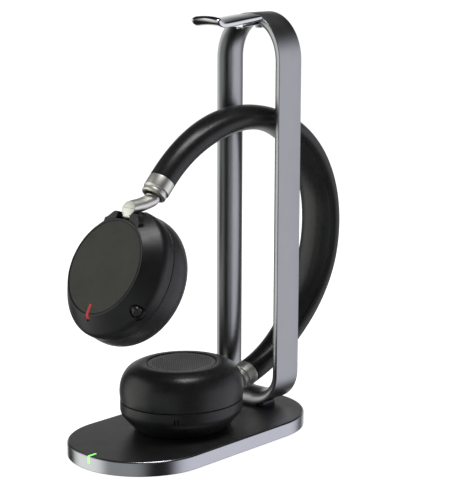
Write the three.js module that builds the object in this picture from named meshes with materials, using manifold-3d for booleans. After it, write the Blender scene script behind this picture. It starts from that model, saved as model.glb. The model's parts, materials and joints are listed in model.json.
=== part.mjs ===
// Wireless on-ear headset resting on its upright charging stand.
// Millimetres, +Z up. The origin is on the floor under the middle of the base; the base is long
// along Y, its light faces -Y and the upright loop stands near its +Y end.

import * as THREE from 'three';
import { mergeVertices } from 'three/addons/utils/BufferGeometryUtils.js';
import Module from 'manifold-3d';

const wasm = await Module();
wasm.setup();

// ---------------------------------------------------------------- driving dimensions

const GAP = 0.3; // between neighbouring pieces
const THROUGH = 40; // length of a cutter that goes right through
const SIDES = { large: 32, middle: 24, small: 14, screw: 8 }; // of round pieces

const BASE_LENGTH = 153.3;
const BASE_WIDTH = 80;
const BASE_TOP = 8.4;
const BASE_UNDERSIDE = 0.6;
const BASE_WALL = 2.2;
const BASE_CEILING = 6.4; // underside of the base's top wall
const BASE_BEVEL = 0.7;
const BASE_FRONT = -BASE_LENGTH / 2;
const BASE_REAR = BASE_LENGTH / 2;

const COVER_BOTTOM = 1.1;
const COVER_TOP = 2.4;
const DECK = COVER_TOP + GAP; // what lies inside the base lies on this height
const FOOT_TOP = COVER_BOTTOM - GAP;
const FOOT_INSET = 3.5;
const BOSS_X = 28;
const INLET_Z = 4.5; // height of the charging inlet's middle

const PAD_RADIUS = 22;
const PAD_THICKNESS = 0.9;

const LOOP_HALF_WIDTH = 22.6;
const LOOP_EDGE = 0.8; // thickness of the bar's two edges
const LOOP_BULGE = 6; // of the bar's rounded inner side
const LOOP_FRONT = 47.6;
const LOOP_BACK = 66.4;
const LOOP_BOTTOM = 10.3;
const LOOP_TOP = 230.2;
const LOOP_TOP_RISE = 25.9; // height of the elliptical top
const LOOP_CORNER = 18.8;
const LOOP_BEVEL = 0.4;
const LOOP_MIDDLE = (LOOP_FRONT + LOOP_BACK) / 2;
const LOOP_SCREW_Y = 4.5; // each side of the loop's middle

const HOOK_HALF_WIDTH = 10;
const HOOK_THICKNESS = 2.6;
const HOOK_CROWN = 0.8; // the plate is this much higher along its middle
const HOOK_PATH = [[47.2, 229.6], [36, 228.7], [25, 227.7], [18.5, 227.3], [16.2, 227.9], [15.2, 229.8]];

const HEADSET_TILT = THREE.MathUtils.degToRad(30.5); // headband's axis above the horizontal
const CUP_CENTRE = [-81.1, 56.8]; // cap centre: along the headband's axis, and across it
const LOWER_CUP_Y = -5.9;
const LOWER_CUP_Z = BASE_TOP + GAP;

const BAND_AXIS_RADIUS = 80.9; // ellipse of the headband's centre line, crown way
const BAND_SIDE_RADIUS = 72; // the same, ear way
const BAND_END_ANGLE = THREE.MathUtils.degToRad(107.2);
const BAND_HALF_THICKNESS = 6.9;
const BAND_SEAM = 3.45; // depth of the seam on the head side of the centre line
const BAND_CROWN_HALF_WIDTH = 13;
const BAND_END_HALF_WIDTH = 7.6;
const BAND_SECTION_HALF_WIDTH = 10; // the swept section's own, before it is scaled
const BAND_STEPS = 26;
const BAND_GROOVE = [6.4, -3.6]; // half width and floor of the groove under the cover

const FERRULE_RADIUS = BAND_HALF_THICKNESS;
const FERRULE_LENGTH = 10.3;
const FERRULE_WIDENING = BAND_END_HALF_WIDTH / BAND_HALF_THICKNESS;
const TONGUE_HALF_WIDTH = 3.2;
const TONGUE_HALF_THICKNESS = 1;
const TONGUE_OFFSET = 1.6; // towards the head, so that the straight tongue fits the curved band
const TONGUE_LENGTH = 24;

const CUP_OVAL = 1.1; // the cups are this much longer towards the arm
const CAP_RADIUS = 23;
const CAP_THICKNESS = 1.5;
const CUP_RIM_RADIUS = 24.1;
const CREASE = [31.2, 8.5]; // radius and depth where the cone meets the side wall
const SIDE_RADIUS = 32;
const CUP_WALL = 1.8;
const SEAM_DEPTH = 15.8;
const CUSHION_TOP = 35.9;
const CUSHION_HOLE_RADIUS = 17.9;

const PIN = [29.3, 4.2]; // tilt pin: distance towards the arm, and depth from the cap
const FACET = [32.8, 2]; // middle of the bar's slanting end face, and its depth from the cap
const SWIVEL_SPLIT = 33.2; // height along the swivel axis where the bar turns on its post
const POST_TOP = 36.6;
const BAR_HALF_WIDTH = 4.6;
const BAR_HALF_THICKNESS = 3.6;
const SLOT_HALF_WIDTH = 4.95;
const EAR_TOP = 31.6;
const NOTCH_BOTTOM = 31.2; // where the bar passes the side wall
const NOTCH_DEPTH = 13.4;

const BOOM_DEPTH = 7.6;
const BOOM_DIRECTION = new THREE.Vector2(-0.816, -0.578).normalize();
const BOOM_REACH = 31.4;

// ---------------------------------------------------------------- solids

/** A manifold solid from a closed three.js geometry, turned the right way out. */
function solid(geometry) {
  const bare = geometry.clone();
  bare.deleteAttribute('normal');
  bare.deleteAttribute('uv');
  const merged = mergeVertices(bare, 1e-4);
  const index = merged.index.array;
  const triangles = [];
  for (let i = 0; i < index.length; i += 3) {
    const [a, b, c] = index.slice(i, i + 3);
    if (a !== b && b !== c && c !== a) triangles.push(a, b, c);
  }
  if (signedVolume(merged.attributes.position.array, triangles) < 0) triangles.reverse();
  return new wasm.Manifold(new wasm.Mesh({
    numProp: 3,
    vertProperties: new Float32Array(merged.attributes.position.array),
    triVerts: new Uint32Array(triangles),
  }));
}

function signedVolume(positions, triangles) {
  const [a, b, c] = [new THREE.Vector3(), new THREE.Vector3(), new THREE.Vector3()];
  let volume = 0;
  for (let i = 0; i < triangles.length; i += 3) {
    a.fromArray(positions, 3 * triangles[i]);
    b.fromArray(positions, 3 * triangles[i + 1]);
    c.fromArray(positions, 3 * triangles[i + 2]);
    volume += a.dot(b.cross(c));
  }
  return volume;
}

function geometryOf(body) {
  const mesh = body.getMesh();
  const geometry = new THREE.BufferGeometry();
  geometry.setAttribute('position', new THREE.BufferAttribute(new Float32Array(mesh.vertProperties), 3));
  geometry.setIndex(new THREE.BufferAttribute(new Uint32Array(mesh.triVerts), 1));
  return geometry;
}

function joined(...bodies) {
  return bodies.reduce((sum, body) => sum.add(body));
}

function cut(body, ...cutters) {
  return cutters.reduce((rest, cutter) => rest.subtract(cutter), body);
}

function box([x0, x1], [y0, y1], [z0, z1]) {
  const geometry = new THREE.BoxGeometry(x1 - x0, y1 - y0, z1 - z0);
  geometry.translate((x0 + x1) / 2, (y0 + y1) / 2, (z0 + z1) / 2);
  return solid(geometry);
}

/** A cylinder between two points. */
function rod(from, to, radius, sides = SIDES.small) {
  const start = new THREE.Vector3(...from);
  const way = new THREE.Vector3(...to).sub(start);
  const geometry = new THREE.CylinderGeometry(radius, radius, way.length(), sides);
  geometry.translate(0, way.length() / 2, 0);
  geometry.applyQuaternion(new THREE.Quaternion().setFromUnitVectors(
    new THREE.Vector3(0, 1, 0), way.normalize()));
  geometry.translate(...from);
  return solid(geometry);
}

/** A shape in the XY plane made into a plate between two heights, its edges bevelled if asked. */
function plate(shape, low, high, bevel = 0, curveSegments = 9) {
  const geometry = new THREE.ExtrudeGeometry(shape, {
    depth: high - low - 2 * bevel,
    bevelEnabled: bevel > 0,
    bevelThickness: bevel,
    bevelSize: bevel,
    bevelOffset: -bevel,
    bevelSegments: 1,
    curveSegments,
  });
  geometry.translate(0, 0, low + bevel);
  return solid(geometry);
}

/** A polygon in (y, z) made into a plate between two x. */
function plateAcrossX(points, low, high) {
  const shape = new THREE.Shape(points.map(([y, z]) => new THREE.Vector2(y, z)));
  const geometry = new THREE.ExtrudeGeometry(shape, { depth: high - low, bevelEnabled: false });
  geometry.translate(0, 0, low);
  geometry.applyMatrix4(new THREE.Matrix4().makeBasis(
    new THREE.Vector3(0, 1, 0), new THREE.Vector3(0, 0, 1), new THREE.Vector3(1, 0, 0)));
  return solid(geometry);
}

/** A turned body about Z from (radius, z) points; a ring's profile closes on itself. */
function turned(profile, sides = SIDES.middle) {
  const onAxis = profile[0][0] === 0;
  const points = (onAxis ? profile : [...profile, profile[0]]).map(([r, z]) => new THREE.Vector2(r, z));
  const geometry = new THREE.LatheGeometry(points, sides);
  geometry.rotateX(Math.PI / 2);
  return solid(geometry);
}

function disc(radius, low, high, sides = SIDES.middle) {
  return turned([[0, low], [radius, low], [radius, high], [0, high]], sides);
}

function oval(body) {
  return body.scale([1, CUP_OVAL, 1]);
}

function stadium(length, width) {
  const radius = width / 2;
  const straight = length / 2 - radius;
  const shape = new THREE.Shape();
  shape.absarc(0, straight, radius, 0, Math.PI);
  shape.absarc(0, -straight, radius, Math.PI, 2 * Math.PI);
  shape.closePath();
  return shape;
}

function roundedRectangle(width, height, radius, x = 0, y = 0) {
  const [w, h] = [width / 2 - radius, height / 2 - radius];
  const shape = new THREE.Shape();
  shape.absarc(x + w, y + h, radius, 0, Math.PI / 2);
  shape.absarc(x - w, y + h, radius, Math.PI / 2, Math.PI);
  shape.absarc(x - w, y - h, radius, Math.PI, 1.5 * Math.PI);
  shape.absarc(x + w, y - h, radius, 1.5 * Math.PI, 2 * Math.PI);
  shape.closePath();
  return shape;
}

/** A section of (x, y) points swept along a curve in the YZ plane. */
function swept(section, curve, steps) {
  const shape = new THREE.Shape(section.map(([x, y]) => new THREE.Vector2(x, y)));
  return new THREE.ExtrudeGeometry(shape, { steps, extrudePath: curve, bevelEnabled: false });
}

/** A closed ring-shaped body through sections that all have the same number of points. */
function ringThrough(sections) {
  const count = sections[0].length;
  const corner = (i, j) => (i % sections.length) * count + (j % count);
  const index = [];
  sections.forEach((section, i) => section.forEach((_, j) => {
    index.push(corner(i, j), corner(i + 1, j), corner(i + 1, j + 1));
    index.push(corner(i, j), corner(i + 1, j + 1), corner(i, j + 1));
  }));
  const geometry = new THREE.BufferGeometry();
  geometry.setAttribute('position', new THREE.Float32BufferAttribute(sections.flat(2), 3));
  geometry.setIndex(index);
  return solid(geometry);
}

function ellipseArc(halfWidth, halfHeight, from, to, count) {
  return Array.from({ length: count + 1 }, (_, i) => {
    const angle = THREE.MathUtils.degToRad(from + ((to - from) * i) / count);
    return [halfWidth * Math.cos(angle), halfHeight * Math.sin(angle)];
  });
}

// ---------------------------------------------------------------- materials and meshes

const finishes = {
  anodised: { color: 0x8c8c92, roughness: 0.35, metalness: 0.9 },
  darkTop: { color: 0x3a3a3c, roughness: 0.4, metalness: 0.7 },
  polished: { color: 0xdcdad2, roughness: 0.12, metalness: 1 },
  steel: { color: 0xa8a8a8, roughness: 0.4, metalness: 1 },
  plastic: { color: 0x1c1c1e, roughness: 0.5, metalness: 0 },
  cap: { color: 0x3e3e38, roughness: 0.6, metalness: 0 },
  leatherette: { color: 0x161617, roughness: 0.55, metalness: 0 },
  mesh: { color: 0x66666a, roughness: 0.8, metalness: 0 },
  foam: { color: 0x242426, roughness: 1, metalness: 0 },
  rubber: { color: 0x141414, roughness: 0.9, metalness: 0 },
  copper: { color: 0xb06a3a, roughness: 0.4, metalness: 1 },
  ferrite: { color: 0x3a3a3e, roughness: 0.8, metalness: 0 },
  board: { color: 0x1d5a36, roughness: 0.6, metalness: 0 },
  battery: { color: 0xc2c6cc, roughness: 0.4, metalness: 0.3 },
  greenLight: { color: 0x66e05a, roughness: 0.3, metalness: 0 },
  redLight: { color: 0xd0202c, roughness: 0.3, metalness: 0 },
};

function named(name, finish, body) {
  const mesh = new THREE.Mesh(geometryOf(body), new THREE.MeshStandardMaterial(finishes[finish]));
  mesh.name = name;
  return mesh;
}

/** Adds one steel screw for each named place. */
function addEach(group, name, places, make) {
  for (const [place, where] of Object.entries(places)) {
    group.add(named(`${name}_${place}`, 'steel', make(where)));
  }
}

// ---------------------------------------------------------------- stand

function baseShell() {
  const outside = plate(stadium(BASE_LENGTH, BASE_WIDTH), BASE_UNDERSIDE, BASE_TOP, BASE_BEVEL, 9);
  const inside = plate(
    stadium(BASE_LENGTH - 2 * BASE_WALL, BASE_WIDTH - 2 * BASE_WALL), -1, BASE_CEILING);
  const padRecess = disc(PAD_RADIUS + GAP, BASE_TOP - PAD_THICKNESS - GAP, BASE_TOP + 1)
    .translate([0, LOWER_CUP_Y, 0]);
  const lightSlot = box([-0.8, 0.8], [BASE_FRONT - 1, BASE_FRONT + 5.9], [4.3, BASE_TOP + 1]);
  const inletSlot = box([-4.8, 4.8], [BASE_REAR - 5, BASE_REAR + 1], [INLET_Z - 1.85, INLET_Z + 1.85]);
  const shell = cut(outside, inside, padRecess, lightSlot, inletSlot, ...loopScrewHoles());
  return joined(shell, ...coverBosses());
}

const COVER_SCREWS = { left: [-BOSS_X, 0], right: [BOSS_X, 0] };

function coverBosses() {
  return Object.values(COVER_SCREWS).map(([x, y]) => cut(
    rod([x, y, DECK], [x, y, BASE_CEILING + 0.5], 3, SIDES.screw),
    rod([x, y, DECK - 1], [x, y, BASE_CEILING - 0.6], 1.3, SIDES.screw)));
}

function bottomCover() {
  const inset = 2 * (BASE_WALL + GAP);
  const holes = Object.values(COVER_SCREWS).map(([x, y]) => joined(
    rod([x, y, 0], [x, y, 4], 1.3, SIDES.screw),
    rod([x, y, 0], [x, y, COVER_TOP - 0.4], 2.6, SIDES.screw)));
  return cut(plate(stadium(BASE_LENGTH - inset, BASE_WIDTH - inset), COVER_BOTTOM, COVER_TOP), ...holes);
}

function coverScrew([x, y]) {
  return joined(
    rod([x, y, COVER_BOTTOM + 0.1], [x, y, COVER_TOP - 0.7], 2.2, SIDES.screw),
    rod([x, y, COVER_BOTTOM + 0.3], [x, y, BASE_CEILING - 1], 1, SIDES.screw));
}

function footPad() {
  return plate(stadium(BASE_LENGTH - 2 * FOOT_INSET, BASE_WIDTH - 2 * FOOT_INSET), 0, FOOT_TOP);
}

function ballastPlate() {
  return plate(stadium(100, 46), DECK, DECK + 1.6, 0, 6).translate([0, -15, 0]);
}

function coil(inner, outer, low, high) {
  return turned([[inner, low], [outer, low], [outer, high], [inner, high]]);
}

function standSocket() {
  const front = BASE_REAR - 0.6;
  return socket().rotate([90, 0, 180]).translate([0, front, INLET_Z]);
}

/** A reversible plug's socket, its mouth at z = 0 and its body towards -Z. */
function socket() {
  const shell = plate(roundedRectangle(8.9, 3.1, 1.5), -7.3, 0, 0, 3);
  const mouth = plate(roundedRectangle(8.3, 2.5, 1.2), -6.3, 1, 0, 3);
  const tongue = plate(roundedRectangle(6.5, 0.7, 0.3), -6.6, -0.8, 0, 1);
  return joined(cut(shell, mouth), tongue);
}

function statusLight() {
  const front = BASE_FRONT + 0.1;
  const top = BASE_TOP - 0.05;
  return plateAcrossX([
    [front, 4.6], [front + 3.1, 4.6], [front + 3.1, 5.7], [front + 5.5, 5.7],
    [front + 5.5, top], [front + BASE_BEVEL, top], [front, top - BASE_BEVEL],
  ], -0.5, 0.5);
}

/** The loop's outer outline in (x, z), widened all round if asked. */
function loopShape(widening = 0) {
  const half = LOOP_HALF_WIDTH + widening;
  const corner = LOOP_CORNER + widening;
  const low = LOOP_BOTTOM - widening;
  const shape = new THREE.Shape();
  shape.absarc(half - corner, low + corner, corner, -Math.PI / 2, 0);
  shape.absellipse(0, LOOP_TOP - LOOP_TOP_RISE, half, LOOP_TOP_RISE + widening, 0, Math.PI);
  shape.absarc(corner - half, low + corner, corner, Math.PI, 1.5 * Math.PI);
  shape.closePath();
  return shape;
}

/** A plate made from a shape in (x, z), between two y. */
function plateAcrossY(shape, low, high, bevel = 0, curveSegments = 6) {
  return plate(shape, -high, -low, bevel, curveSegments).rotate([90, 0, 0]);
}

/** The bar's section as (y, depth) points: flat outside, rounded on the inside of the loop. */
function loopSection() {
  const half = (LOOP_BACK - LOOP_FRONT) / 2;
  const inside = ellipseArc(half, LOOP_BULGE, 0, 180, 10)
    .map(([y, depth]) => [LOOP_MIDDLE + y, LOOP_EDGE + depth]);
  return [
    [LOOP_FRONT, LOOP_BEVEL], [LOOP_FRONT + LOOP_BEVEL, 0], [LOOP_BACK - LOOP_BEVEL, 0],
    [LOOP_BACK, LOOP_BEVEL], ...inside,
  ];
}

function loopFrame() {
  const outline = loopShape().getPoints(9);
  if (outline[0].distanceTo(outline.at(-1)) < 1e-6) outline.pop();
  const sections = outline.map((point, i) => {
    const along = outline[(i + 1) % outline.length].clone().sub(outline.at(i - 1)).normalize();
    return loopSection().map(([y, depth]) => [point.x - depth * along.y, y, point.y + depth * along.x]);
  });
  return cut(
    ringThrough(sections), ...loopScrewHoles(), bracketBlank(GAP), hookScrewHole(HOOK_SCREWS.rear));
}

const LOOP_SCREWS = { front: LOOP_MIDDLE - LOOP_SCREW_Y, rear: LOOP_MIDDLE + LOOP_SCREW_Y };

function loopScrewHoles() {
  return Object.values(LOOP_SCREWS).map((y) => rod([0, y, DECK], [0, y, LOOP_BOTTOM + 3.8], 1.8, SIDES.screw));
}

function loopScrew(y) {
  return joined(
    rod([0, y, 4.6], [0, y, BASE_CEILING - GAP], 2.8, SIDES.screw),
    rod([0, y, 5], [0, y, LOOP_BOTTOM + 3.5], 1.5, SIDES.screw));
}

function loopPlinth() {
  const block = plate(roundedRectangle(19, 14, 2, 0, LOOP_MIDDLE), BASE_TOP + GAP, LOOP_BOTTOM + 2, 0, 2);
  return cut(block, plateAcrossY(loopShape(GAP), LOOP_FRONT, LOOP_BACK), ...loopScrewHoles());
}

/** The hook's section: an arched strip, its crown at y = 0 and its thickness towards +Y. */
function archedSection(halfWidth, thickness, crown, count = 6) {
  const arch = (drop) => Array.from({ length: count + 1 }, (_, i) => {
    const x = halfWidth * (1 - (2 * i) / count);
    return [x, drop + crown * (x / HOOK_HALF_WIDTH) ** 2];
  });
  return [...arch(0), ...arch(thickness).reverse()];
}

function hookPlate() {
  const path = new THREE.CatmullRomCurve3(HOOK_PATH.map(([y, z]) => new THREE.Vector3(0, y, z)));
  const section = archedSection(HOOK_HALF_WIDTH, HOOK_THICKNESS, HOOK_CROWN);
  return cut(solid(swept(section, path, 10)), hookScrewHole(HOOK_SCREWS.front));
}

/** The tongue under the hook that goes into the loop, larger all round by a clearance if asked. */
function bracketBlank(clearance = 0) {
  const path = new THREE.LineCurve3(
    new THREE.Vector3(0, 60 + clearance, 226.3 + clearance),
    new THREE.Vector3(0, 36.5 - clearance, 225 + clearance));
  return solid(swept(archedSection(5.5 + clearance, 2 + 2 * clearance, HOOK_CROWN), path, 1));
}

function hookBracket() {
  return cut(bracketBlank(), ...Object.values(HOOK_SCREWS).map(hookScrewHole));
}

const HOOK_SCREWS = { front: 41, rear: 57 };

function hookScrewHole(y) {
  return rod([0, y, 220], [0, y, 228.2], 1.3, SIDES.screw);
}

function hookScrew(y) {
  return joined(
    rod([0, y, 221.6], [0, y, 223], 2.2, SIDES.screw),
    rod([0, y, 222], [0, y, 227], 1, SIDES.screw));
}

function stand() {
  const group = new THREE.Group();
  group.add(named('base_shell', 'anodised', baseShell()));
  group.add(named('bottom_cover', 'plastic', bottomCover()));
  group.add(named('foot_pad', 'rubber', footPad()));
  group.add(named('ballast_plate', 'steel', ballastPlate()));
  const pad = disc(PAD_RADIUS, BASE_TOP - PAD_THICKNESS, BASE_TOP).translate([0, LOWER_CUP_Y, 0]);
  group.add(named('charging_pad', 'plastic', pad));
  group.add(named('coil_ferrite', 'ferrite', disc(19, 4.6, 5.1).translate([0, LOWER_CUP_Y, 0])));
  group.add(named('charging_coil', 'copper', coil(9, 18, 5.4, 6.1).translate([0, LOWER_CUP_Y, 0])));
  group.add(named('stand_board', 'board', box([-14, 14], [46, 67.5], [DECK, DECK + 1])));
  group.add(named('stand_usb_socket', 'steel', standSocket()));
  group.add(named('status_light', 'greenLight', statusLight()));
  group.add(named('loop_plinth', 'darkTop', loopPlinth()));
  group.add(named('loop_frame', 'anodised', loopFrame()));
  group.add(named('hook_plate', 'polished', hookPlate()));
  group.add(named('hook_bracket', 'steel', hookBracket()));
  addEach(group, 'cover_screw', COVER_SCREWS, coverScrew);
  addEach(group, 'loop_screw', LOOP_SCREWS, loopScrew);
  addEach(group, 'hook_screw', HOOK_SCREWS, hookScrew);
  return group;
}

// ---------------------------------------------------------------- headband
// The headset's own frame: Y along the headband's axis towards the crown, Z across it towards the
// upper ear cup. Everything here is symmetrical about Z = 0.

function bandPoint(angle) {
  return new THREE.Vector3(0, BAND_AXIS_RADIUS * Math.cos(angle), BAND_SIDE_RADIUS * Math.sin(angle));
}

class BandCurve extends THREE.Curve {
  constructor(endAngle) {
    super();
    this.endAngle = endAngle;
  }

  getPoint(t, target = new THREE.Vector3()) {
    return target.copy(bandPoint(this.endAngle * (2 * t - 1)));
  }
}

/** Half the headband's width at an angle from the crown. */
function bandHalfWidth(angle) {
  const ease = THREE.MathUtils.smoothstep(Math.abs(angle), THREE.MathUtils.degToRad(40), BAND_END_ANGLE);
  return THREE.MathUtils.lerp(BAND_CROWN_HALF_WIDTH, BAND_END_HALF_WIDTH, ease);
}

/** Sweeps a section along the headband and widens it towards the crown. */
function alongBand(section, steps) {
  const geometry = swept(section, new BandCurve(BAND_END_ANGLE), steps);
  const position = geometry.attributes.position;
  for (let i = 0; i < position.count; i += 1) {
    const angle = Math.atan2(position.getZ(i) / BAND_SIDE_RADIUS, position.getY(i) / BAND_AXIS_RADIUS);
    position.setX(i, (position.getX(i) * bandHalfWidth(angle)) / BAND_SECTION_HALF_WIDTH);
  }
  return solid(geometry);
}

function headbandCover() {
  const [grooveHalf, grooveFloor] = BAND_GROOVE;
  return alongBand([
    ...ellipseArc(BAND_SECTION_HALF_WIDTH, BAND_HALF_THICKNESS, 30, -210, 12),
    [-grooveHalf, BAND_SEAM], [-grooveHalf, grooveFloor], [grooveHalf, grooveFloor], [grooveHalf, BAND_SEAM],
  ], BAND_STEPS);
}

function headbandCushion() {
  return alongBand(ellipseArc(BAND_SECTION_HALF_WIDTH, BAND_HALF_THICKNESS, 33, 147, 6), BAND_STEPS);
}

function headbandSpring() {
  const section = [[-4.4, 0], [4.4, 0], [4.4, 0.8], [-4.4, 0.8]];
  return solid(swept(section, new BandCurve(THREE.MathUtils.degToRad(84)), 20));
}

// ---------------------------------------------------------------- arms
// An arm's frame: its origin is the middle of the headband's end face, Y leads out of the band and
// Z towards the head.

function ferrule() {
  const r = FERRULE_RADIUS;
  const bore = 4.8;
  return armTurned([
    [bore, GAP], [r, GAP], [r, 6.9], [r - 0.6, 7.4], [r - 0.8, 7.9], [r - 0.5, 8.3],
    [r - 0.5, 9.7], [r - 1, FERRULE_LENGTH], [bore, FERRULE_LENGTH],
  ]);
}

/** A turned body about the arm's Y axis, widened like the headband's end. */
function armTurned(profile) {
  return turned(profile, 22).rotate([-90, 0, 0]).scale([FERRULE_WIDENING, 1, 1]);
}

function ferruleBush() {
  const hole = box(
    [-TONGUE_HALF_WIDTH - 0.2, TONGUE_HALF_WIDTH + 0.2], [-1, THROUGH],
    [TONGUE_OFFSET - TONGUE_HALF_THICKNESS - 0.2, TONGUE_OFFSET + TONGUE_HALF_THICKNESS + 0.2]);
  return cut(armTurned([[0, GAP], [4.5, GAP], [4.5, FERRULE_LENGTH - 0.4], [0, FERRULE_LENGTH - 0.4]]), hole);
}

/** The flat tongue that slides in the headband. */
function tongue() {
  return box(
    [-TONGUE_HALF_WIDTH, TONGUE_HALF_WIDTH], [-TONGUE_LENGTH, FERRULE_LENGTH + 2.5],
    [TONGUE_OFFSET - TONGUE_HALF_THICKNESS, TONGUE_OFFSET + TONGUE_HALF_THICKNESS]);
}

// ---------------------------------------------------------------- bars and swivel posts
// These are made in the frame of the ear cup that they carry.

function cutAtFacet(body) {
  return cut(body, box([-9, 9], [10, 60], [-20, FACET[1]]));
}

/** The whole bar from the ferrule's mouth to its slanting end face, through points in (y, z). */
function bar(mouth) {
  const path = new THREE.CatmullRomCurve3([
    ...mouth,
    new THREE.Vector3(0, FACET[0] + 5.5, FACET[1] + 8.3),
    new THREE.Vector3(0, FACET[0] + 2.8, FACET[1] + 4.1),
    new THREE.Vector3(0, FACET[0], FACET[1]),
    new THREE.Vector3(0, FACET[0] - 3, FACET[1] - 4),
  ]);
  const section = ellipseArc(BAR_HALF_WIDTH, BAR_HALF_THICKNESS, 0, 330, 11);
  return cutAtFacet(solid(swept(section, path, 12)));
}

/** A round piece on the swivel axis, between two distances from the cup's middle. */
function onSwivelAxis(from, to, radius) {
  return rod([0, from, PIN[1]], [0, to, PIN[1]], radius);
}

/** The tongue and the upper part of the bar, bored for the post. */
function sliderArm(wholeBar, tongueHere) {
  const upperBar = wholeBar.intersect(box([-9, 9], [SWIVEL_SPLIT, 99], [-50, 50]));
  return cut(joined(upperBar, tongueHere), onSwivelAxis(0, POST_TOP + 0.5, 1.9));
}

/** The lower end of the bar, the barrel round the tilt pin and the post that the arm turns on. */
function swivelPost(wholeBar) {
  const [reach, depth] = PIN;
  const neckTop = SWIVEL_SPLIT - GAP;
  const lowerBar = wholeBar.intersect(box([-9, 9], [0, neckTop], [-50, 50]));
  const barrel = rod([-2.6, reach, depth], [2.6, reach, depth], 2.1);
  const neck = cutAtFacet(onSwivelAxis(reach, neckTop, 3));
  const bore = rod([-THROUGH, reach, depth], [THROUGH, reach, depth], 1.2, SIDES.screw);
  return cut(joined(lowerBar, barrel, neck, onSwivelAxis(reach, POST_TOP, 1.6)), bore);
}

// ---------------------------------------------------------------- ear cups
// A cup's frame: its origin is the middle of the cap's outer face, Y points to the arm and Z into
// the cup, from the cap to the cushion.

function capPlate() {
  return oval(turned([
    [0, 0], [CAP_RADIUS - 0.4, 0], [CAP_RADIUS, 0.4], [CAP_RADIUS, CAP_THICKNESS], [0, CAP_THICKNESS],
  ]));
}

function busyLightSlot() {
  return box([-1.1, 1.1], [-THROUGH, -20.2], [-1, 3.1]);
}

function busyLight() {
  return plateAcrossX(
    [[-20.5, 0.1], [-26.4, 0.1], [-28.1, 2], [-27, 2.8], [-25.3, 1.5], [-20.5, 1.5]], -0.8, 0.8);
}

/** The housing without any side openings. */
function housingBlank() {
  const shell = oval(turned([
    [CAP_RADIUS + GAP, GAP], [CUP_RIM_RADIUS, GAP], CREASE, [SIDE_RADIUS - 0.3, 9.4],
    [SIDE_RADIUS, 10.5], [SIDE_RADIUS, SEAM_DEPTH], [SIDE_RADIUS - CUP_WALL, SEAM_DEPTH],
    [SIDE_RADIUS - CUP_WALL, 10.3], [24.5, 3.7], [21, 3.7],
    [21, CAP_THICKNESS + GAP], [CAP_RADIUS + GAP, CAP_THICKNESS + GAP],
  ], SIDES.large));
  const boss = pivotBoss();
  const pocket = box([-6.9, 6.9], [NOTCH_BOTTOM - 1.9, 33.6], [7, NOTCH_DEPTH + 1.6]);
  const slot = box([-SLOT_HALF_WIDTH, SLOT_HALF_WIDTH], [PIN[0] - 3.7, THROUGH], [-2, 8.2]);
  const notch = box([-SLOT_HALF_WIDTH, SLOT_HALF_WIDTH], [NOTCH_BOTTOM, THROUGH], [-2, NOTCH_DEPTH]);
  const pinHole = rod([-7.2, ...PIN], [7.2, ...PIN], 1.2, SIDES.screw);
  return cut(joined(shell, boss, pocket), slot, notch, pinHole);
}

/** The raised shoulders that carry the tilt pin, one each side of the slot. */
function pivotBoss() {
  const outline = new THREE.Shape([
    [-14, 25.9], [-7.4, EAR_TOP], [7.4, EAR_TOP], [14, 25.9],
  ].map(([x, y]) => new THREE.Vector2(x, y)));
  return plate(outline, 0.6, 8);
}

function baffle() {
  return oval(turned([[16.5, 16.1], [30, 16.1], [30, 17.6], [16.5, 17.6]]));
}

function driver() {
  return turned([
    [0, 10.7], [8, 10.7], [8, 12.5], [18.4, 13.5], [19.2, 14.1], [19.2, SEAM_DEPTH], [0, SEAM_DEPTH],
  ]);
}

function earCushion() {
  return oval(turned([
    [CUSHION_HOLE_RADIUS, 18], [30.3, 18], [30.3, 16.1], [SIDE_RADIUS, 16.1], [32.4, 21.9],
    [31.7, 26.5], [29.6, 31], [26.4, 34.4], [22.4, CUSHION_TOP], [CUSHION_HOLE_RADIUS + 0.6, CUSHION_TOP],
    [CUSHION_HOLE_RADIUS, CUSHION_TOP - 0.6],
  ], SIDES.large));
}

function foamDisc() {
  return oval(disc(CUSHION_HOLE_RADIUS - 0.6, 18, 33.2));
}

function speakerMesh() {
  return oval(disc(CUSHION_HOLE_RADIUS - 0.4, 33.5, CUSHION_TOP - 0.4));
}

function tiltPin() {
  return rod([-6.8, ...PIN], [6.8, ...PIN], 0.9, SIDES.screw);
}

function cupCommon(side, cap, housing) {
  const group = new THREE.Group();
  group.add(named(`${side}_cap_plate`, 'cap', cap));
  group.add(named(`${side}_housing`, 'plastic', housing));
  group.add(named(`${side}_baffle`, 'plastic', baffle()));
  group.add(named(`${side}_driver`, 'steel', driver()));
  group.add(named(`${side}_ear_cushion`, 'leatherette', earCushion()));
  group.add(named(`${side}_foam_disc`, 'foam', foamDisc()));
  group.add(named(`${side}_speaker_mesh`, 'mesh', speakerMesh()));
  group.add(named(`${side}_tilt_pin`, 'steel', tiltPin()));
  return group;
}

/** A point on the line of the microphone boom. */
function onBoom(distance) {
  return [BOOM_DIRECTION.x * distance, BOOM_DIRECTION.y * distance, BOOM_DEPTH];
}

function micBoom() {
  return joined(
    rod(onBoom(-18), onBoom(BOOM_REACH - 2), 1.6, SIDES.screw),
    rod(onBoom(BOOM_REACH - 4), onBoom(BOOM_REACH - 0.4), 2.6),
    rod(onBoom(BOOM_REACH - 1), onBoom(BOOM_REACH + 0.4), 2));
}

function boomSleeve() {
  return cut(rod(onBoom(-19), onBoom(26), 2.5), rod(onBoom(-20), onBoom(27), 1.9));
}

/** A box beside the boom: lengthwise centred, between two distances from the boom's line. */
function besideBoom(length, [near, far], [low, high]) {
  const angle = THREE.MathUtils.radToDeg(BOOM_DIRECTION.angle());
  return box([-length / 2, length / 2], [near, far], [low, high]).rotate([0, 0, angle]);
}

const SOCKET_ANGLE = -45; // degrees from the cup's X axis
const SOCKET_DEPTH = 12.4;

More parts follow.
